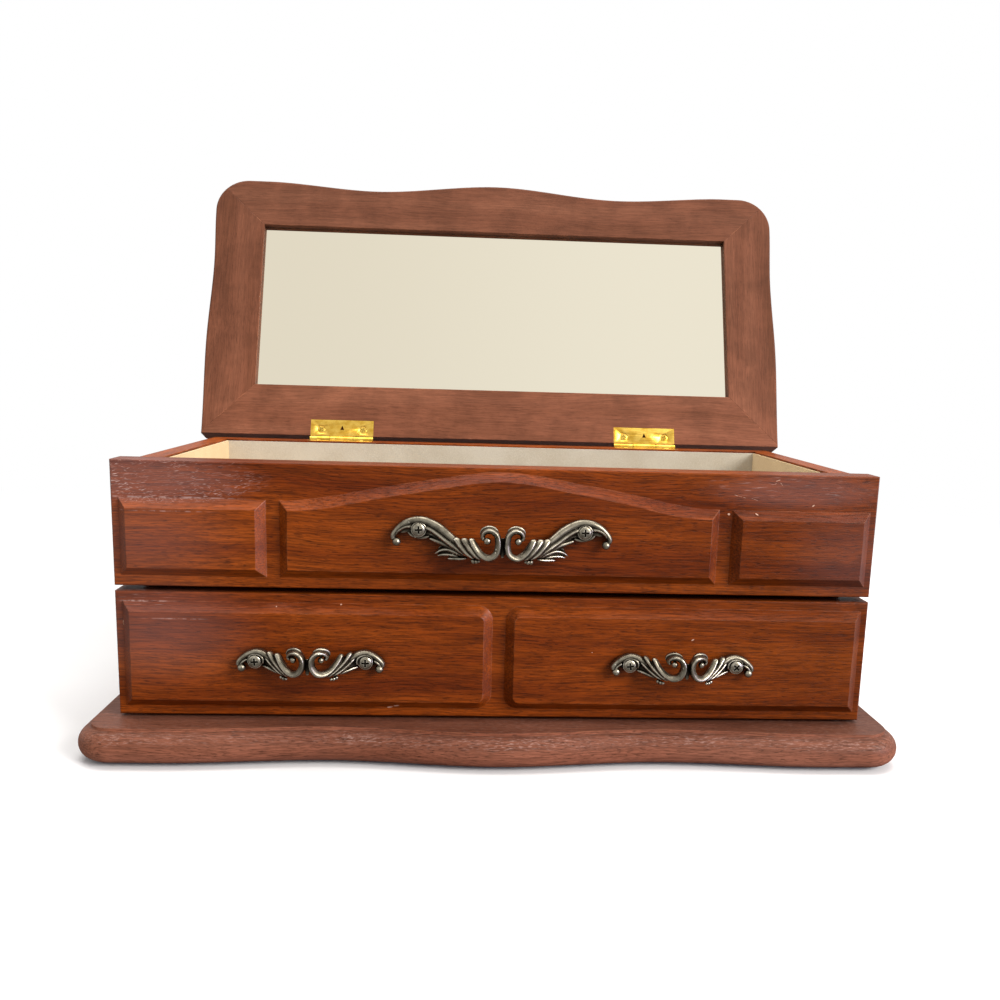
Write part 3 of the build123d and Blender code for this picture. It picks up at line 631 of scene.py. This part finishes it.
scene = bpy.context.scene
for step in range(1, swell_steps + 1):
    scene.frame_set(step)
graph = bpy.context.evaluated_depsgraph_get()
for number, (roll, low, high, rest) in enumerate(padding, 1):
    swollen = bpy.data.meshes.new_from_object(roll.evaluated_get(graph))
    roll.modifiers.clear()
    roll.vertex_groups.clear()
    for vertex, start in zip(swollen.vertices, rest):
        move = vertex.co - start
        if move.length > swell_cap:
            move *= swell_cap / move.length
        there = start + move
        for axis in range(3):
            there[axis] = min(max(there[axis], low[axis]), high[axis])
        vertex.co = there
    roll.data = swollen
    swollen.name = roll.name
    finer = roll.modifiers.new("finer", "SUBSURF")
    finer.levels = finer.render_levels = 1
    swollen.shade_smooth()
    swollen.materials.clear()
    swollen.materials.append(velvet)
    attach(roll, "case")
    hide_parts(f"ring_roll_{number}")
scene.frame_set(1)


# --------------------------------------------------------------------------- pulls
# Each pull is a zinc casting in two mirrored halves under antiqued brass: a ridged volute with
# a ball at its eye, an arm wrapped in acanthus lobes, and a hood round the screw that curls to
# a ball. It bows forward between its screws, and its ridges are rubbed bright.

ring_sides, curve_steps = 20, 7
tip_taper = (0.5, 0.8, 0.95)
plane_back, board_gap = 1.2, 0.4
back_round, flank_square = 0.8, 0.4
pull_voxel, seat_radius = 0.17 * mm, 2.45 * mm

# A stroke is (points, lift over the bowed middle plane, sharpness of its ridge, its width
# towards the outside and towards the inside, how far its wall goes back). A point is
# (outward, up, half width, crown) and a ball is (outward, up, radius, lift), in millimetres
# from the middle of the pull.
large_pull = {
    "height": 84.8, "middles": (0.0,), "spacing": 60.0, "screw_rise": 3.2,
    "boss": 2.75, "foot": 4.2, "bow": 8.5,
    "glint_strokes": {
        "body": ([(9, -4.6, 1.2, .2), (12, -3.4, 1.7, .3), (15, -2.2, 2.0, .4),
                  (18, -.5, 2.1, .5), (22, 1.8, 2.2, .5), (26, 3.6, 2.5, .5),
                  (30, 3.9, 3.0, .5), (34, 3.9, 2.1, .5), (37.2, 2.3, 1.3, .4)],
                 -0.9, 1.0, 1, 1, 2.6),
        "hood": ([(15.6, -1.6, .7, .5), (17.6, .2, 1.1, .9), (20.0, 2.0, 1.3, 1.1),
                  (22.2, 3.6, 1.4, 1.2), (25.2, 5.2, 1.4, 1.2), (28, 6.2, 1.35, 1.2),
                  (30.5, 6.4, 1.3, 1.2), (33.2, 5.95, 1.2, 1.2), (35.7, 4.7, 1.1, 1.1),
                  (37.8, 2.8, 1.0, 1.0), (39.1, .8, .95, 1.0), (39.0, -.9, .8, .9)],
                 0.0, 0.8, 1.1, 1.0, 2.8),
        "rib": ([(38.3, .9, .5, .8), (37.3, 2.5, .75, 1.0), (34.6, 4.0, .8, 1.1),
                 (30.0, 4.0, .9, .7), (26.6, 3.5, 1.0, 1.2), (23.4, 1.7, 1.05, 1.3),
                 (20.0, -.7, 1.05, 1.3), (16.8, -2.7, 1.0, 1.2), (13.8, -4.6, .7, .9),
                 (11.4, -5.6, .4, .6)], 0.1, 0.6, .8, 1.2, 2.4),
        "lip": ([(34.0, 2.2, .35, .3), (32.4, .8, .6, .5), (29.0, .1, .7, .6),
                 (26.2, .6, .5, .4)], -0.9, 1.0, 1, 1, 1.6),
        "lobe_outer": ([(17.3, .9, .4, .3), (16.6, .0, 1.1, 1.0), (14.9, -2.1, 1.4, 1.5),
                        (12.7, -4.4, 1.2, 1.4), (10.2, -6.0, .5, .8)],
                       0.2, 0.55, .8, 1.3, 2.6),
        "lobe_middle": ([(14.5, 1.0, .4, .3), (13.9, .1, 1.1, 1.0), (12.0, -2.4, 1.4, 1.5),
                         (9.8, -4.7, 1.2, 1.4), (7.6, -6.1, .5, .8)],
                        0.3, 0.55, .8, 1.3, 2.6),
        "scroll": ([(11.7, 1.2, .4, .3), (11.3, .3, 1.0, 1.0), (10.2, -1.9, 1.25, 1.4),
                    (8.4, -4.3, 1.2, 1.4), (5.8, -5.8, 1.15, 1.3), (3.4, -5.4, 1.1, 1.3),
                    (1.85, -3.8, 1.1, 1.3), (1.25, -1.4, 1.1, 1.3), (1.3, .9, 1.05, 1.3),
                    (1.9, 3.0, 1.0, 1.3), (3.4, 4.35, .95, 1.3), (5.2, 4.6, .95, 1.2),
                    (6.8, 3.75, .85, 1.1), (7.35, 2.2, .75, 1.0), (6.8, .8, .65, .9)],
                   0.2, 0.55, .8, 1.45, 3.0),
        "scroll_edge": ([(1.5, 2.6, .4, .2), (2.5, 4.5, .7, .4), (4.6, 5.3, .8, .5),
                         (6.9, 4.6, .7, .4), (8.0, 2.8, .4, .3)], -0.8, 1.0, 1, 1, 1.6),
        "leaf_bed": ([(13.0, -4.6, 1.2, .2), (17, -3.8, 1.8, .3), (20.5, -3.9, 1.9, .3),
                      (23.0, -4.5, .9, .2)], -1.9, 1.0, 1, 1, 1.2),
        "leaf_upper": ([(14.6, -4.0, .5, .6), (18, -2.8, 1.1, 1.0), (21, -1.7, 1.2, 1.0),
                        (24, -.8, .95, .9), (26.2, -.1, .7, .8)], -0.7, 0.55, 1.1, .9, 1.8),
        "leaf_lower": ([(13.4, -5.4, .5, .6), (16.4, -4.5, .9, .9), (19.4, -3.7, .9, 1.0),
                        (22.0, -4.2, .75, .9), (24.2, -5.7, .3, .5)],
                       -0.8, 0.5, .9, 1.1, 1.6),
        "leaf_fold": ([(15.8, -5.9, .4, .5), (18.8, -5.6, .75, .8), (21.4, -5.8, .7, .8),
                       (23.4, -6.4, .3, .4)], -1.0, 0.5, 1, 1, 1.4),
        "leaf_small": ([(12.6, -6.3, .3, .4), (15.0, -6.8, .7, .7), (17.6, -7.0, .65, .6),
                        (19.6, -7.1, .3, .4)], -1.2, 0.5, 1, 1, 1.4),
        "web": ([(.05, -5.4, .4, .2), (.05, -4.2, .7, .3), (.05, -2.0, .7, .2),
                 (.05, .6, .7, .2), (.05, 1.8, .35, .1)], -1.3, 1.0, 1, 1, 1.2),
        "fill": ([(23.6, -1.2, .5, .1), (25.4, .4, .9, .2), (27.4, 1.6, .9, .2),
                  (29.6, 1.4, .6, .1)], -1.6, 1.0, 1, 1, 1.2),
        "fill_low": ([(12.6, -5.4, .8, .2), (14.6, -5.7, .9, .2), (16.8, -5.4, .6, .1)],
                     -1.7, 1.0, 1, 1, 1.2),
    },
    "balls": [(37.9, -1.5, 1.6, 0.0), (5.45, .75, 1.3, 0.3), (10.2, -7.1, 1.05, -0.9),
              (9.2, -7.1, .95, -1.0), (8.4, -6.9, .7, -1.1)],
}
small_pull = {
    "height": 37.4, "middles": (-68.9, 68.9), "spacing": 40.0, "screw_rise": .7,
    "boss": 2.7, "foot": 3.8, "bow": 9.0,
    "glint_strokes": {
        "body": ([(8.5, -1.4, 1.2, .2), (11.6, -.2, 1.5, .3), (15, .9, 1.9, .4),
                  (18, 1.3, 2.2, .5), (21.6, 1.3, 2.3, .5), (24.4, .6, 1.3, .4)],
                 -0.9, 1.0, 1, 1, 2.2),
        "hood": ([(13.8, 1.2, .6, .5), (15.4, 2.6, 1.0, 1.0), (17.6, 3.7, 1.15, 1.2),
                  (20.0, 4.0, 1.15, 1.2), (22.4, 3.3, 1.1, 1.2), (24.5, 1.9, 1.0, 1.1),
                  (26.0, .2, .95, 1.0), (26.2, -1.4, .8, .9)], 0.0, 0.8, 1.0, 1.0, 2.4),
        "rib": ([(22.8, 1.4, .5, .7), (24.2, .6, .65, 1.0), (25.2, -.5, .6, .9),
                 (25.5, -1.6, .5, .8)], 0.1, 0.6, 1, 1, 1.6),
        "collar": ([(17.1, -.2, .5, .6), (16.9, 1.4, .6, .9), (17.8, 2.8, .6, 1.0),
                    (19.6, 3.4, .6, 1.0), (21.4, 3.1, .6, .9), (22.8, 2.0, .5, .7)],
                   0.4, 0.6, 1, 1, 1.6),
        "lobe_low": ([(17.8, -1.0, .4, .5), (15.4, -1.6, .85, .9), (13.0, -2.3, .85, .9),
                      (10.6, -3.0, .4, .6)], -0.5, 0.55, 1, 1, 1.6),
        "lobe_thin": ([(16.8, 3.3, .4, .4), (15.4, 1.6, .8, 1.1), (13.2, -.4, .9, 1.3),
                       (10.8, -2.1, .8, 1.1), (8.8, -3.0, .4, .7)], 0.1, 0.5, .8, 1.2, 2.0),
        "lobe_middle": ([(15.2, 4.8, .4, .4), (14.5, 3.8, .9, 1.1), (12.7, 1.4, 1.05, 1.4),
                         (10.4, -.8, .95, 1.2), (8.4, -2.3, .7, 1.0), (6.8, -3.0, .4, .7)],
                        0.3, 0.5, .8, 1.25, 2.4),
        "scroll": ([(12.1, 4.6, .4, .4), (11.6, 3.6, .9, 1.0), (10.2, 1.0, 1.1, 1.3),
                    (8.2, -1.2, 1.1, 1.3), (5.7, -2.3, 1.1, 1.3), (3.3, -1.7, 1.05, 1.3),
                    (1.8, .0, 1.05, 1.3), (1.2, 2.1, 1.0, 1.3), (1.5, 4.2, 1.0, 1.3),
                    (2.7, 5.8, .95, 1.3), (4.5, 6.3, .95, 1.2), (6.2, 5.7, .85, 1.1),
                    (7.0, 4.4, .75, 1.0), (6.4, 3.2, .65, .9)], 0.2, 0.5, .8, 1.45, 3.0),
        "scroll_edge": ([(1.7, 4.8, .4, .2), (2.9, 6.5, .7, .4), (4.8, 7.0, .75, .5),
                         (6.8, 6.2, .7, .4), (7.8, 4.6, .4, .3)], -0.9, 1.0, 1, 1, 1.6),
        "web": ([(.05, -2.2, .4, .2), (.05, -.9, .7, .3), (.05, 1.0, .7, .2),
                 (.05, 2.8, .6, .2), (.05, 3.8, .35, .1)], -1.3, 1.0, 1, 1, 1.2),
    },
    "balls": [(25.0, -2.0, 1.6, 0.0), (4.9, 3.6, 1.15, 0.3), (9.8, -4.2, .85, -0.8),
              (8.9, -4.5, .8, -0.9), (8.1, -4.5, .6, -1.0)],
}


def bowed_depth(pull, outward):
    """How far the middle plane of a pull stands off the board at a place along it."""
    share = np.minimum(np.abs(outward) / (pull["spacing"] / 2), 1)
    return pull["foot"] - plane_back + pull["bow"] * np.cos(share * math.pi / 2) ** 2


def flowing(points):
    """Points along a smooth curve through the given ones."""
    p = np.array(points, float)
    padded = np.vstack([2 * p[0] - p[1], p, 2 * p[-1] - p[-2]])
    t = np.linspace(0, 1, curve_steps, endpoint=False)[:, None]
    spans = []
    for a, b, c, d in zip(padded, padded[1:], padded[2:], padded[3:]):
        spans.append(0.5 * (2 * b + (c - a) * t + (2 * a - 5 * b + 4 * c - d) * t ** 2
                            + (3 * b - a - 3 * c + d) * t ** 3))
    return np.vstack([*spans, p[-1:]])


def draw_stroke(mesh, pull, hand, points, lift, sharpness, outer, inner, wall):
    """Adds one tapering, closed stroke of the casting to a bmesh."""
    line = flowing(points)
    depth = bowed_depth(pull, line[:, 0]) + lift
    centre = np.column_stack([hand * line[:, 0], -depth, line[:, 1]])
    along = np.gradient(centre, axis=0)
    along /= np.linalg.norm(along, axis=1)[:, None]
    forward = np.array([0, -1.0, 0]) - along * -along[:, 1:2]
    forward /= np.linalg.norm(forward, axis=1)[:, None]
    across = hand * np.cross(along, forward)
    turn = np.linspace(0, 2 * math.pi, ring_sides, endpoint=False)
    side, rise = np.cos(turn), np.sin(turn)
    front = np.where(rise > 0, np.abs(rise) ** (1 / sharpness), 0)
    back = np.where(rise < 0, np.abs(rise) ** back_round, 0)
    side = np.where(rise < -1e-9, np.sign(side) * np.abs(side) ** flank_square, side)
    side = side * np.where(side > 0, inner, outer)
    rings = []
    last = len(line) - 1
    for i, (place, half_width, crown) in enumerate(zip(centre, line[:, 2], line[:, 3])):
        end = min(i, last - i)
        shrink = tip_taper[end] if end < len(tip_taper) else 1.0
        deep = min(wall, depth[i] - board_gap)
        ring = (place + shrink * half_width * side[:, None] * across[i]
                + shrink * (crown * front - deep * back)[:, None] * forward[i])
        rings.append([mesh.verts.new(v * mm) for v in ring])
    skin_loops(mesh, rings)


def cast_pull(name, pull, x, face_y):
    """A whole pull, fused into one skin, with flat seats for its two screws."""
    z = pull["height"] * mm
    shape = bmesh.new()
    for hand in (-1, 1):
        for stroke in pull["glint_strokes"].values():
            draw_stroke(shape, pull, hand, *stroke)
        for outward, up, radius, lift in pull["balls"]:
            depth = bowed_depth(pull, outward) + lift
            place = Matrix.Translation(Vector((hand * outward, -depth, up)) * mm)
            bmesh.ops.create_uvsphere(shape, u_segments=18, v_segments=12,
                                      radius=radius * mm, matrix=place)
        boss = Matrix.Translation(Vector((
            hand * pull["spacing"] / 2, -pull["foot"] / 2, pull["screw_rise"])) * mm)
        bmesh.ops.create_cone(shape, cap_ends=True, segments=40, radius1=pull["boss"] * mm,
                              radius2=pull["boss"] * mm, depth=pull["foot"] * mm,
                              matrix=boss @ Matrix.Rotation(math.pi / 2, 4, "X"))
    bmesh.ops.recalc_face_normals(shape, faces=shape.faces)
    shape.transform(Matrix.Translation((x, face_y, z)))
    cast = add_shape(name, shape)
    fuse = cast.modifiers.new("fuse", "REMESH")
    fuse.mode = "VOXEL"
    fuse.voxel_size = pull_voxel
    fuse.use_smooth_shade = True
    soften = cast.modifiers.new("soften", "SMOOTH")
    soften.factor = 0.5
    soften.iterations = 1

    seat = face_y - pull["foot"] * mm
    for vertex in settle(cast).vertices:
        for hand in (-1, 1):
            du = vertex.co.x - x - hand * pull["spacing"] / 2 * mm
            dw = vertex.co.z - z - pull["screw_rise"] * mm
            if math.hypot(du, dw) < seat_radius and vertex.co.y < seat:
                vertex.co.y = seat
    return cast


antique_brass, tree = blank_material("antique_brass")
open_sky = openness(tree, 8, 2.4 * mm)
ridge = join(tree, "NewGeometry").outputs["Pointiness"]
rubbing = mottle(tree, own_place(tree), 420.0, 3.0)
rubbed = times(tree, levels(tree, open_sky, 0.40, 0.95),
               levels(tree, ridge, 0.465, 0.565, 0.2, 1.0),
               levels(tree, rubbing, 0.25, 0.6, 0.7, 1.0))
tone = tone_ramp(tree, rubbed, [
    (0.0, (0.012, 0.009, 0.006)), (0.30, (0.050, 0.042, 0.030)),
    (0.55, (0.27, 0.24, 0.18)), (1.0, (0.78, 0.72, 0.60))])
matt = levels(tree, rubbed, 0.0, 1.0, 0.48, 0.22)
cover(tree, Base_Color=tone, Roughness=matt, Metallic=1.0,
      Normal=raised(tree, rubbing, 0.15, 0.1 * mm))

field_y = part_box("drawer_front")[0].y
for node, name, pull, body in (
        ("upper_pull", "cast_upper_pull", large_pull, "case"),
        ("drawer_pull_left", "cast_drawer_pull_left", small_pull, "drawer"),
        ("drawer_pull_right", "cast_drawer_pull_right", small_pull, "drawer")):
    low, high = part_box(node)
    cast = cast_pull(name, pull, (low.x + high.x) / 2, field_y)
    cast.data.materials.clear()
    cast.data.materials.append(antique_brass)
    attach(cast, body)
    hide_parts(node)


# ------------------------------------------------------------------------- hinges
# Two small butt hinges of polished brass, one leaf let into the case's rear rim and one
# into the lid's rail. Each lid leaf has a three-cornered window punched through its middle.

polished_brass, tree = blank_material("polished_brass")
place = own_place(tree)
rolled = streaks(tree, place, 0.006, 0.0002)
handled = mottle(tree, place, 260.0, 3.0)
open_sky = openness(tree, 8, 0.8 * mm)
colour = blend_colour(tree, levels(tree, handled, 0.35, 0.65), (0.57, 0.32, 0.038),
                      (0.73, 0.47, 0.088))
# Painted shade: the brass is darkened in its corners and recesses.
colour = dimmed(tree, colour, levels(tree, open_sky, 0.3, 0.9, 0.15, 1.0))
cover(tree, Base_Color=colour, Roughness=levels(tree, rolled, 0.3, 0.7, 0.22, 0.36),
      Metallic=1.0)
dress(polished_brass, "case_leaf_left", "case_leaf_right", "hinge_pin_left",
      "hinge_pin_right")

hinge_y, hinge_z, hinge_x = 67.9 * mm, 110.0 * mm, 73.6 * mm
lid_up = Vector((0, -math.cos(lid_open), math.sin(lid_open)))
lid_face = Vector((0, -math.sin(lid_open), -math.cos(lid_open)))
hinge_line = Vector((0, hinge_y, hinge_z))
window_half, window_foot, window_height = 0.95 * mm, 4.9 * mm, 2.3 * mm
punch_reach, merge_reach = 2 * mm, 0.001 * mm
knuckle, crease = 1.7 * mm, math.radians(35)


def punch(x):
    """A three-sided punch that goes right through a lid leaf."""
    foot = hinge_line + Vector((x, 0, 0)) + window_foot * lid_up
    corners = [foot - Vector((window_half, 0, 0)), foot + Vector((window_half, 0, 0)),
               foot + window_height * lid_up]
    shape = bmesh.new()
    skin_loops(shape, [[shape.verts.new(corner + side * punch_reach * lid_face)
                        for corner in corners] for side in (1, -1)])
    bmesh.ops.recalc_face_normals(shape, faces=shape.faces)
    return shape


for node, name, x in (("lid_leaf_left", "punched_leaf_left", -hinge_x),
                      ("lid_leaf_right", "punched_leaf_right", hinge_x)):
    shape = bmesh.new()
    shape.from_mesh(cad_pieces[node].data)
    shape.transform(cad_pieces[node].matrix_world)
    bmesh.ops.remove_doubles(shape, verts=shape.verts, dist=merge_reach)
    leaf = add_shape(name, shape)
    cutter = add_shape("punch", punch(x))
    cut = leaf.modifiers.new("window", "BOOLEAN")
    cut.operation, cut.solver, cut.object = "DIFFERENCE", "EXACT", cutter
    punched = settle(leaf)
    bpy.data.objects.remove(cutter)
    punched.materials.clear()
    punched.materials.append(polished_brass)
    for face in punched.polygons:
        face.use_smooth = math.hypot(face.center.y - hinge_y, face.center.z - hinge_z) < knuckle
    punched.set_sharp_from_angle(angle=crease)
    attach(leaf, "lid")
    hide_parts(node)


# ------------------------------------------------------------------------- screws
# Cross-head screws: brassed countersunk ones in the hinges, antiqued ones with low domed
# heads through the pulls' bosses into the boards behind, and steel ones under the plinth.

def screw_tree():
    """Geometry nodes that set a cross-head screw on each vertex of a mesh."""
    tree = bpy.data.node_groups.new("cross_head_screws", "GeometryNodeTree")
    face = tree.interface
    face.new_socket("Places", in_out="INPUT", socket_type="NodeSocketGeometry")
    kinds = dict.fromkeys(("Head Radius", "Crown", "Cone Depth", "Shank Radius",
                           "Shank Length", "Cross Length", "Cross Width", "Cross Depth"),
                          "NodeSocketFloat")
    kinds.update({"Outward": "NodeSocketVector", "Seed": "NodeSocketInt",
                  "Finish": "NodeSocketMaterial"})
    sockets = {label: face.new_socket(label, in_out="INPUT", socket_type=kind).identifier
               for label, kind in kinds.items()}
    face.new_socket("Screws", in_out="OUTPUT", socket_type="NodeSocketGeometry")
    get = tree.nodes.new("NodeGroupInput").outputs

    def vector(x, y, z):
        return join(tree, "CombineXYZ", X=x, Y=y, Z=z).outputs[0]

    def moved(shape, **how):
        return join(tree, "GeometryNodeTransform", Geometry=shape.outputs[0], **how)

    def boolean(operation, **solids):
        return join(tree, "GeometryNodeMeshBoolean",
                    {"operation": operation, "solver": "EXACT"}, **solids)

    ball = join(tree, "GeometryNodeMeshUVSphere", Segments=40, Rings=20, Radius=1.0)
    crown = moved(ball, Scale=vector(get["Head Radius"], get["Head Radius"], get["Crown"]))
    cone = join(tree, "GeometryNodeMeshCone", Vertices=40, Radius_Top=get["Shank Radius"],
                Radius_Bottom=calculate(tree, "MULTIPLY", get["Head Radius"], 0.98),
                Depth=get["Cone Depth"])
    under = moved(cone, Rotation=(math.pi, 0, 0))
    rod = join(tree, "GeometryNodeMeshCylinder", Vertices=24, Radius=get["Shank Radius"],
               Depth=get["Shank Length"])
    half_down = times(tree, get["Shank Length"], -0.5)
    shank = moved(rod, Translation=vector(0.0, 0.0, half_down))
    whole = boolean("UNION")
    for solid in (crown, under, shank):
        tree.links.new(solid.outputs[0], whole.inputs["Mesh 2"])
    arms = []
    for size in ((get["Cross Length"], get["Cross Width"]),
                 (get["Cross Width"], get["Cross Length"])):
        bar = join(tree, "GeometryNodeMeshCube",
                   Size=vector(*size, times(tree, get["Cross Depth"], 2.0)))
        arms.append(moved(bar, Translation=vector(0.0, 0.0, get["Crown"])))
    cross = boolean("UNION")
    for arm in arms:
        tree.links.new(arm.outputs[0], cross.inputs["Mesh 2"])
    cut = boolean("DIFFERENCE", i0=whole.outputs[0], i1=cross.outputs[0])
    spin = join(tree, "FunctionNodeRandomValue", {"data_type": "FLOAT"},
                i2=0.0, i3=math.pi, Seed=get["Seed"])
    turned = join(tree, "FunctionNodeAxisAngleToRotation", Axis=(0, 0, 1),
                  Angle=spin.outputs[1])
    aimed = join(tree, "FunctionNodeAlignRotationToVector", {"axis": "Z"},
                 Rotation=turned.outputs[0], Vector=get["Outward"])
    placed = join(tree, "GeometryNodeInstanceOnPoints", Points=get["Places"],
                  Instance=cut.outputs[0], Rotation=aimed.outputs[0])
    real = join(tree, "GeometryNodeRealizeInstances", Geometry=placed.outputs[0])
    coated = join(tree, "GeometryNodeSetMaterial", Geometry=real.outputs[0],
                  Material=get["Finish"])
    leaving = tree.nodes.new("NodeGroupOutput")
    tree.links.new(coated.outputs[0], leaving.inputs[0])
    return tree, sockets


screw_nodes, screw_inputs = screw_tree()


def set_screws(name, node, body, finish, outward, places, seed, sizes):
    """One mesh of screws for the CAD node of the same ones."""
    points = bpy.data.meshes.new(name)
    points.from_pydata([tuple(p) for p in places], [], [])
    screws = add_object(name, points)
    grown = screws.modifiers.new("screws", "NODES")
    grown.node_group = screw_nodes
    for label, value in {**sizes, "Outward": outward, "Seed": seed, "Finish": finish}.items():
        grown[screw_inputs[label]] = value
    settle(screws)
    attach(screws, body)
    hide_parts(node)


pan_head = {"Head Radius": 2.3 * mm, "Crown": 0.8 * mm, "Cone Depth": 0.3 * mm,
            "Shank Radius": 1.4 * mm, "Shank Length": 11.0 * mm, "Cross Length": 2.8 * mm,
            "Cross Width": 0.7 * mm, "Cross Depth": 0.6 * mm}
flat_head = {"Head Radius": 1.75 * mm, "Crown": 0.22 * mm, "Cone Depth": 1.1 * mm,
             "Shank Radius": 0.9 * mm, "Shank Length": 6.3 * mm, "Cross Length": 2.2 * mm,
             "Cross Width": 0.5 * mm, "Cross Depth": 0.3 * mm}
for node, body, pull in (("upper_pull_screws", "case", large_pull),
                         ("drawer_pull_screws", "drawer", small_pull)):
    seat = field_y - pull["foot"] * mm
    places = [((middle + hand * pull["spacing"] / 2) * mm, seat,
               (pull["height"] + pull["screw_rise"]) * mm)
              for middle in pull["middles"] for hand in (-1, 1)]
    set_screws(f"cross_{node}", node, body, antique_brass, (0, -1, 0),
               places, 5, pan_head)

sunk, off_hinge, off_middle = 0.26 * mm, 5.0 * mm, 10.0 * mm
hinge_places = [side * hinge_x + step * off_middle for side in (-1, 1) for step in (-1, 1)]
case_places = [(x, hinge_y - off_hinge, hinge_z - sunk) for x in hinge_places]
lid_places = [hinge_line + Vector((x, 0, 0)) + off_hinge * lid_up - sunk * lid_face
              for x in hinge_places]
set_screws("cross_case_hinge_screws", "case_hinge_screws", "case",
           polished_brass, (0, 0, 1), case_places, 3, flat_head)
set_screws("cross_lid_hinge_screws", "lid_hinge_screws", "lid",
           polished_brass, lid_face, lid_places, 8, flat_head)

steel, tree = blank_material("steel")
cover(tree, Base_Color=(0.45, 0.45, 0.46, 1), Roughness=0.4, Metallic=1.0)
dress(steel, "base_screws")


# ------------------------------------------------------------------------- finish
# Colours are shown as they are, with the Standard view transform.

bpy.context.scene.view_settings.view_transform = "Standard"
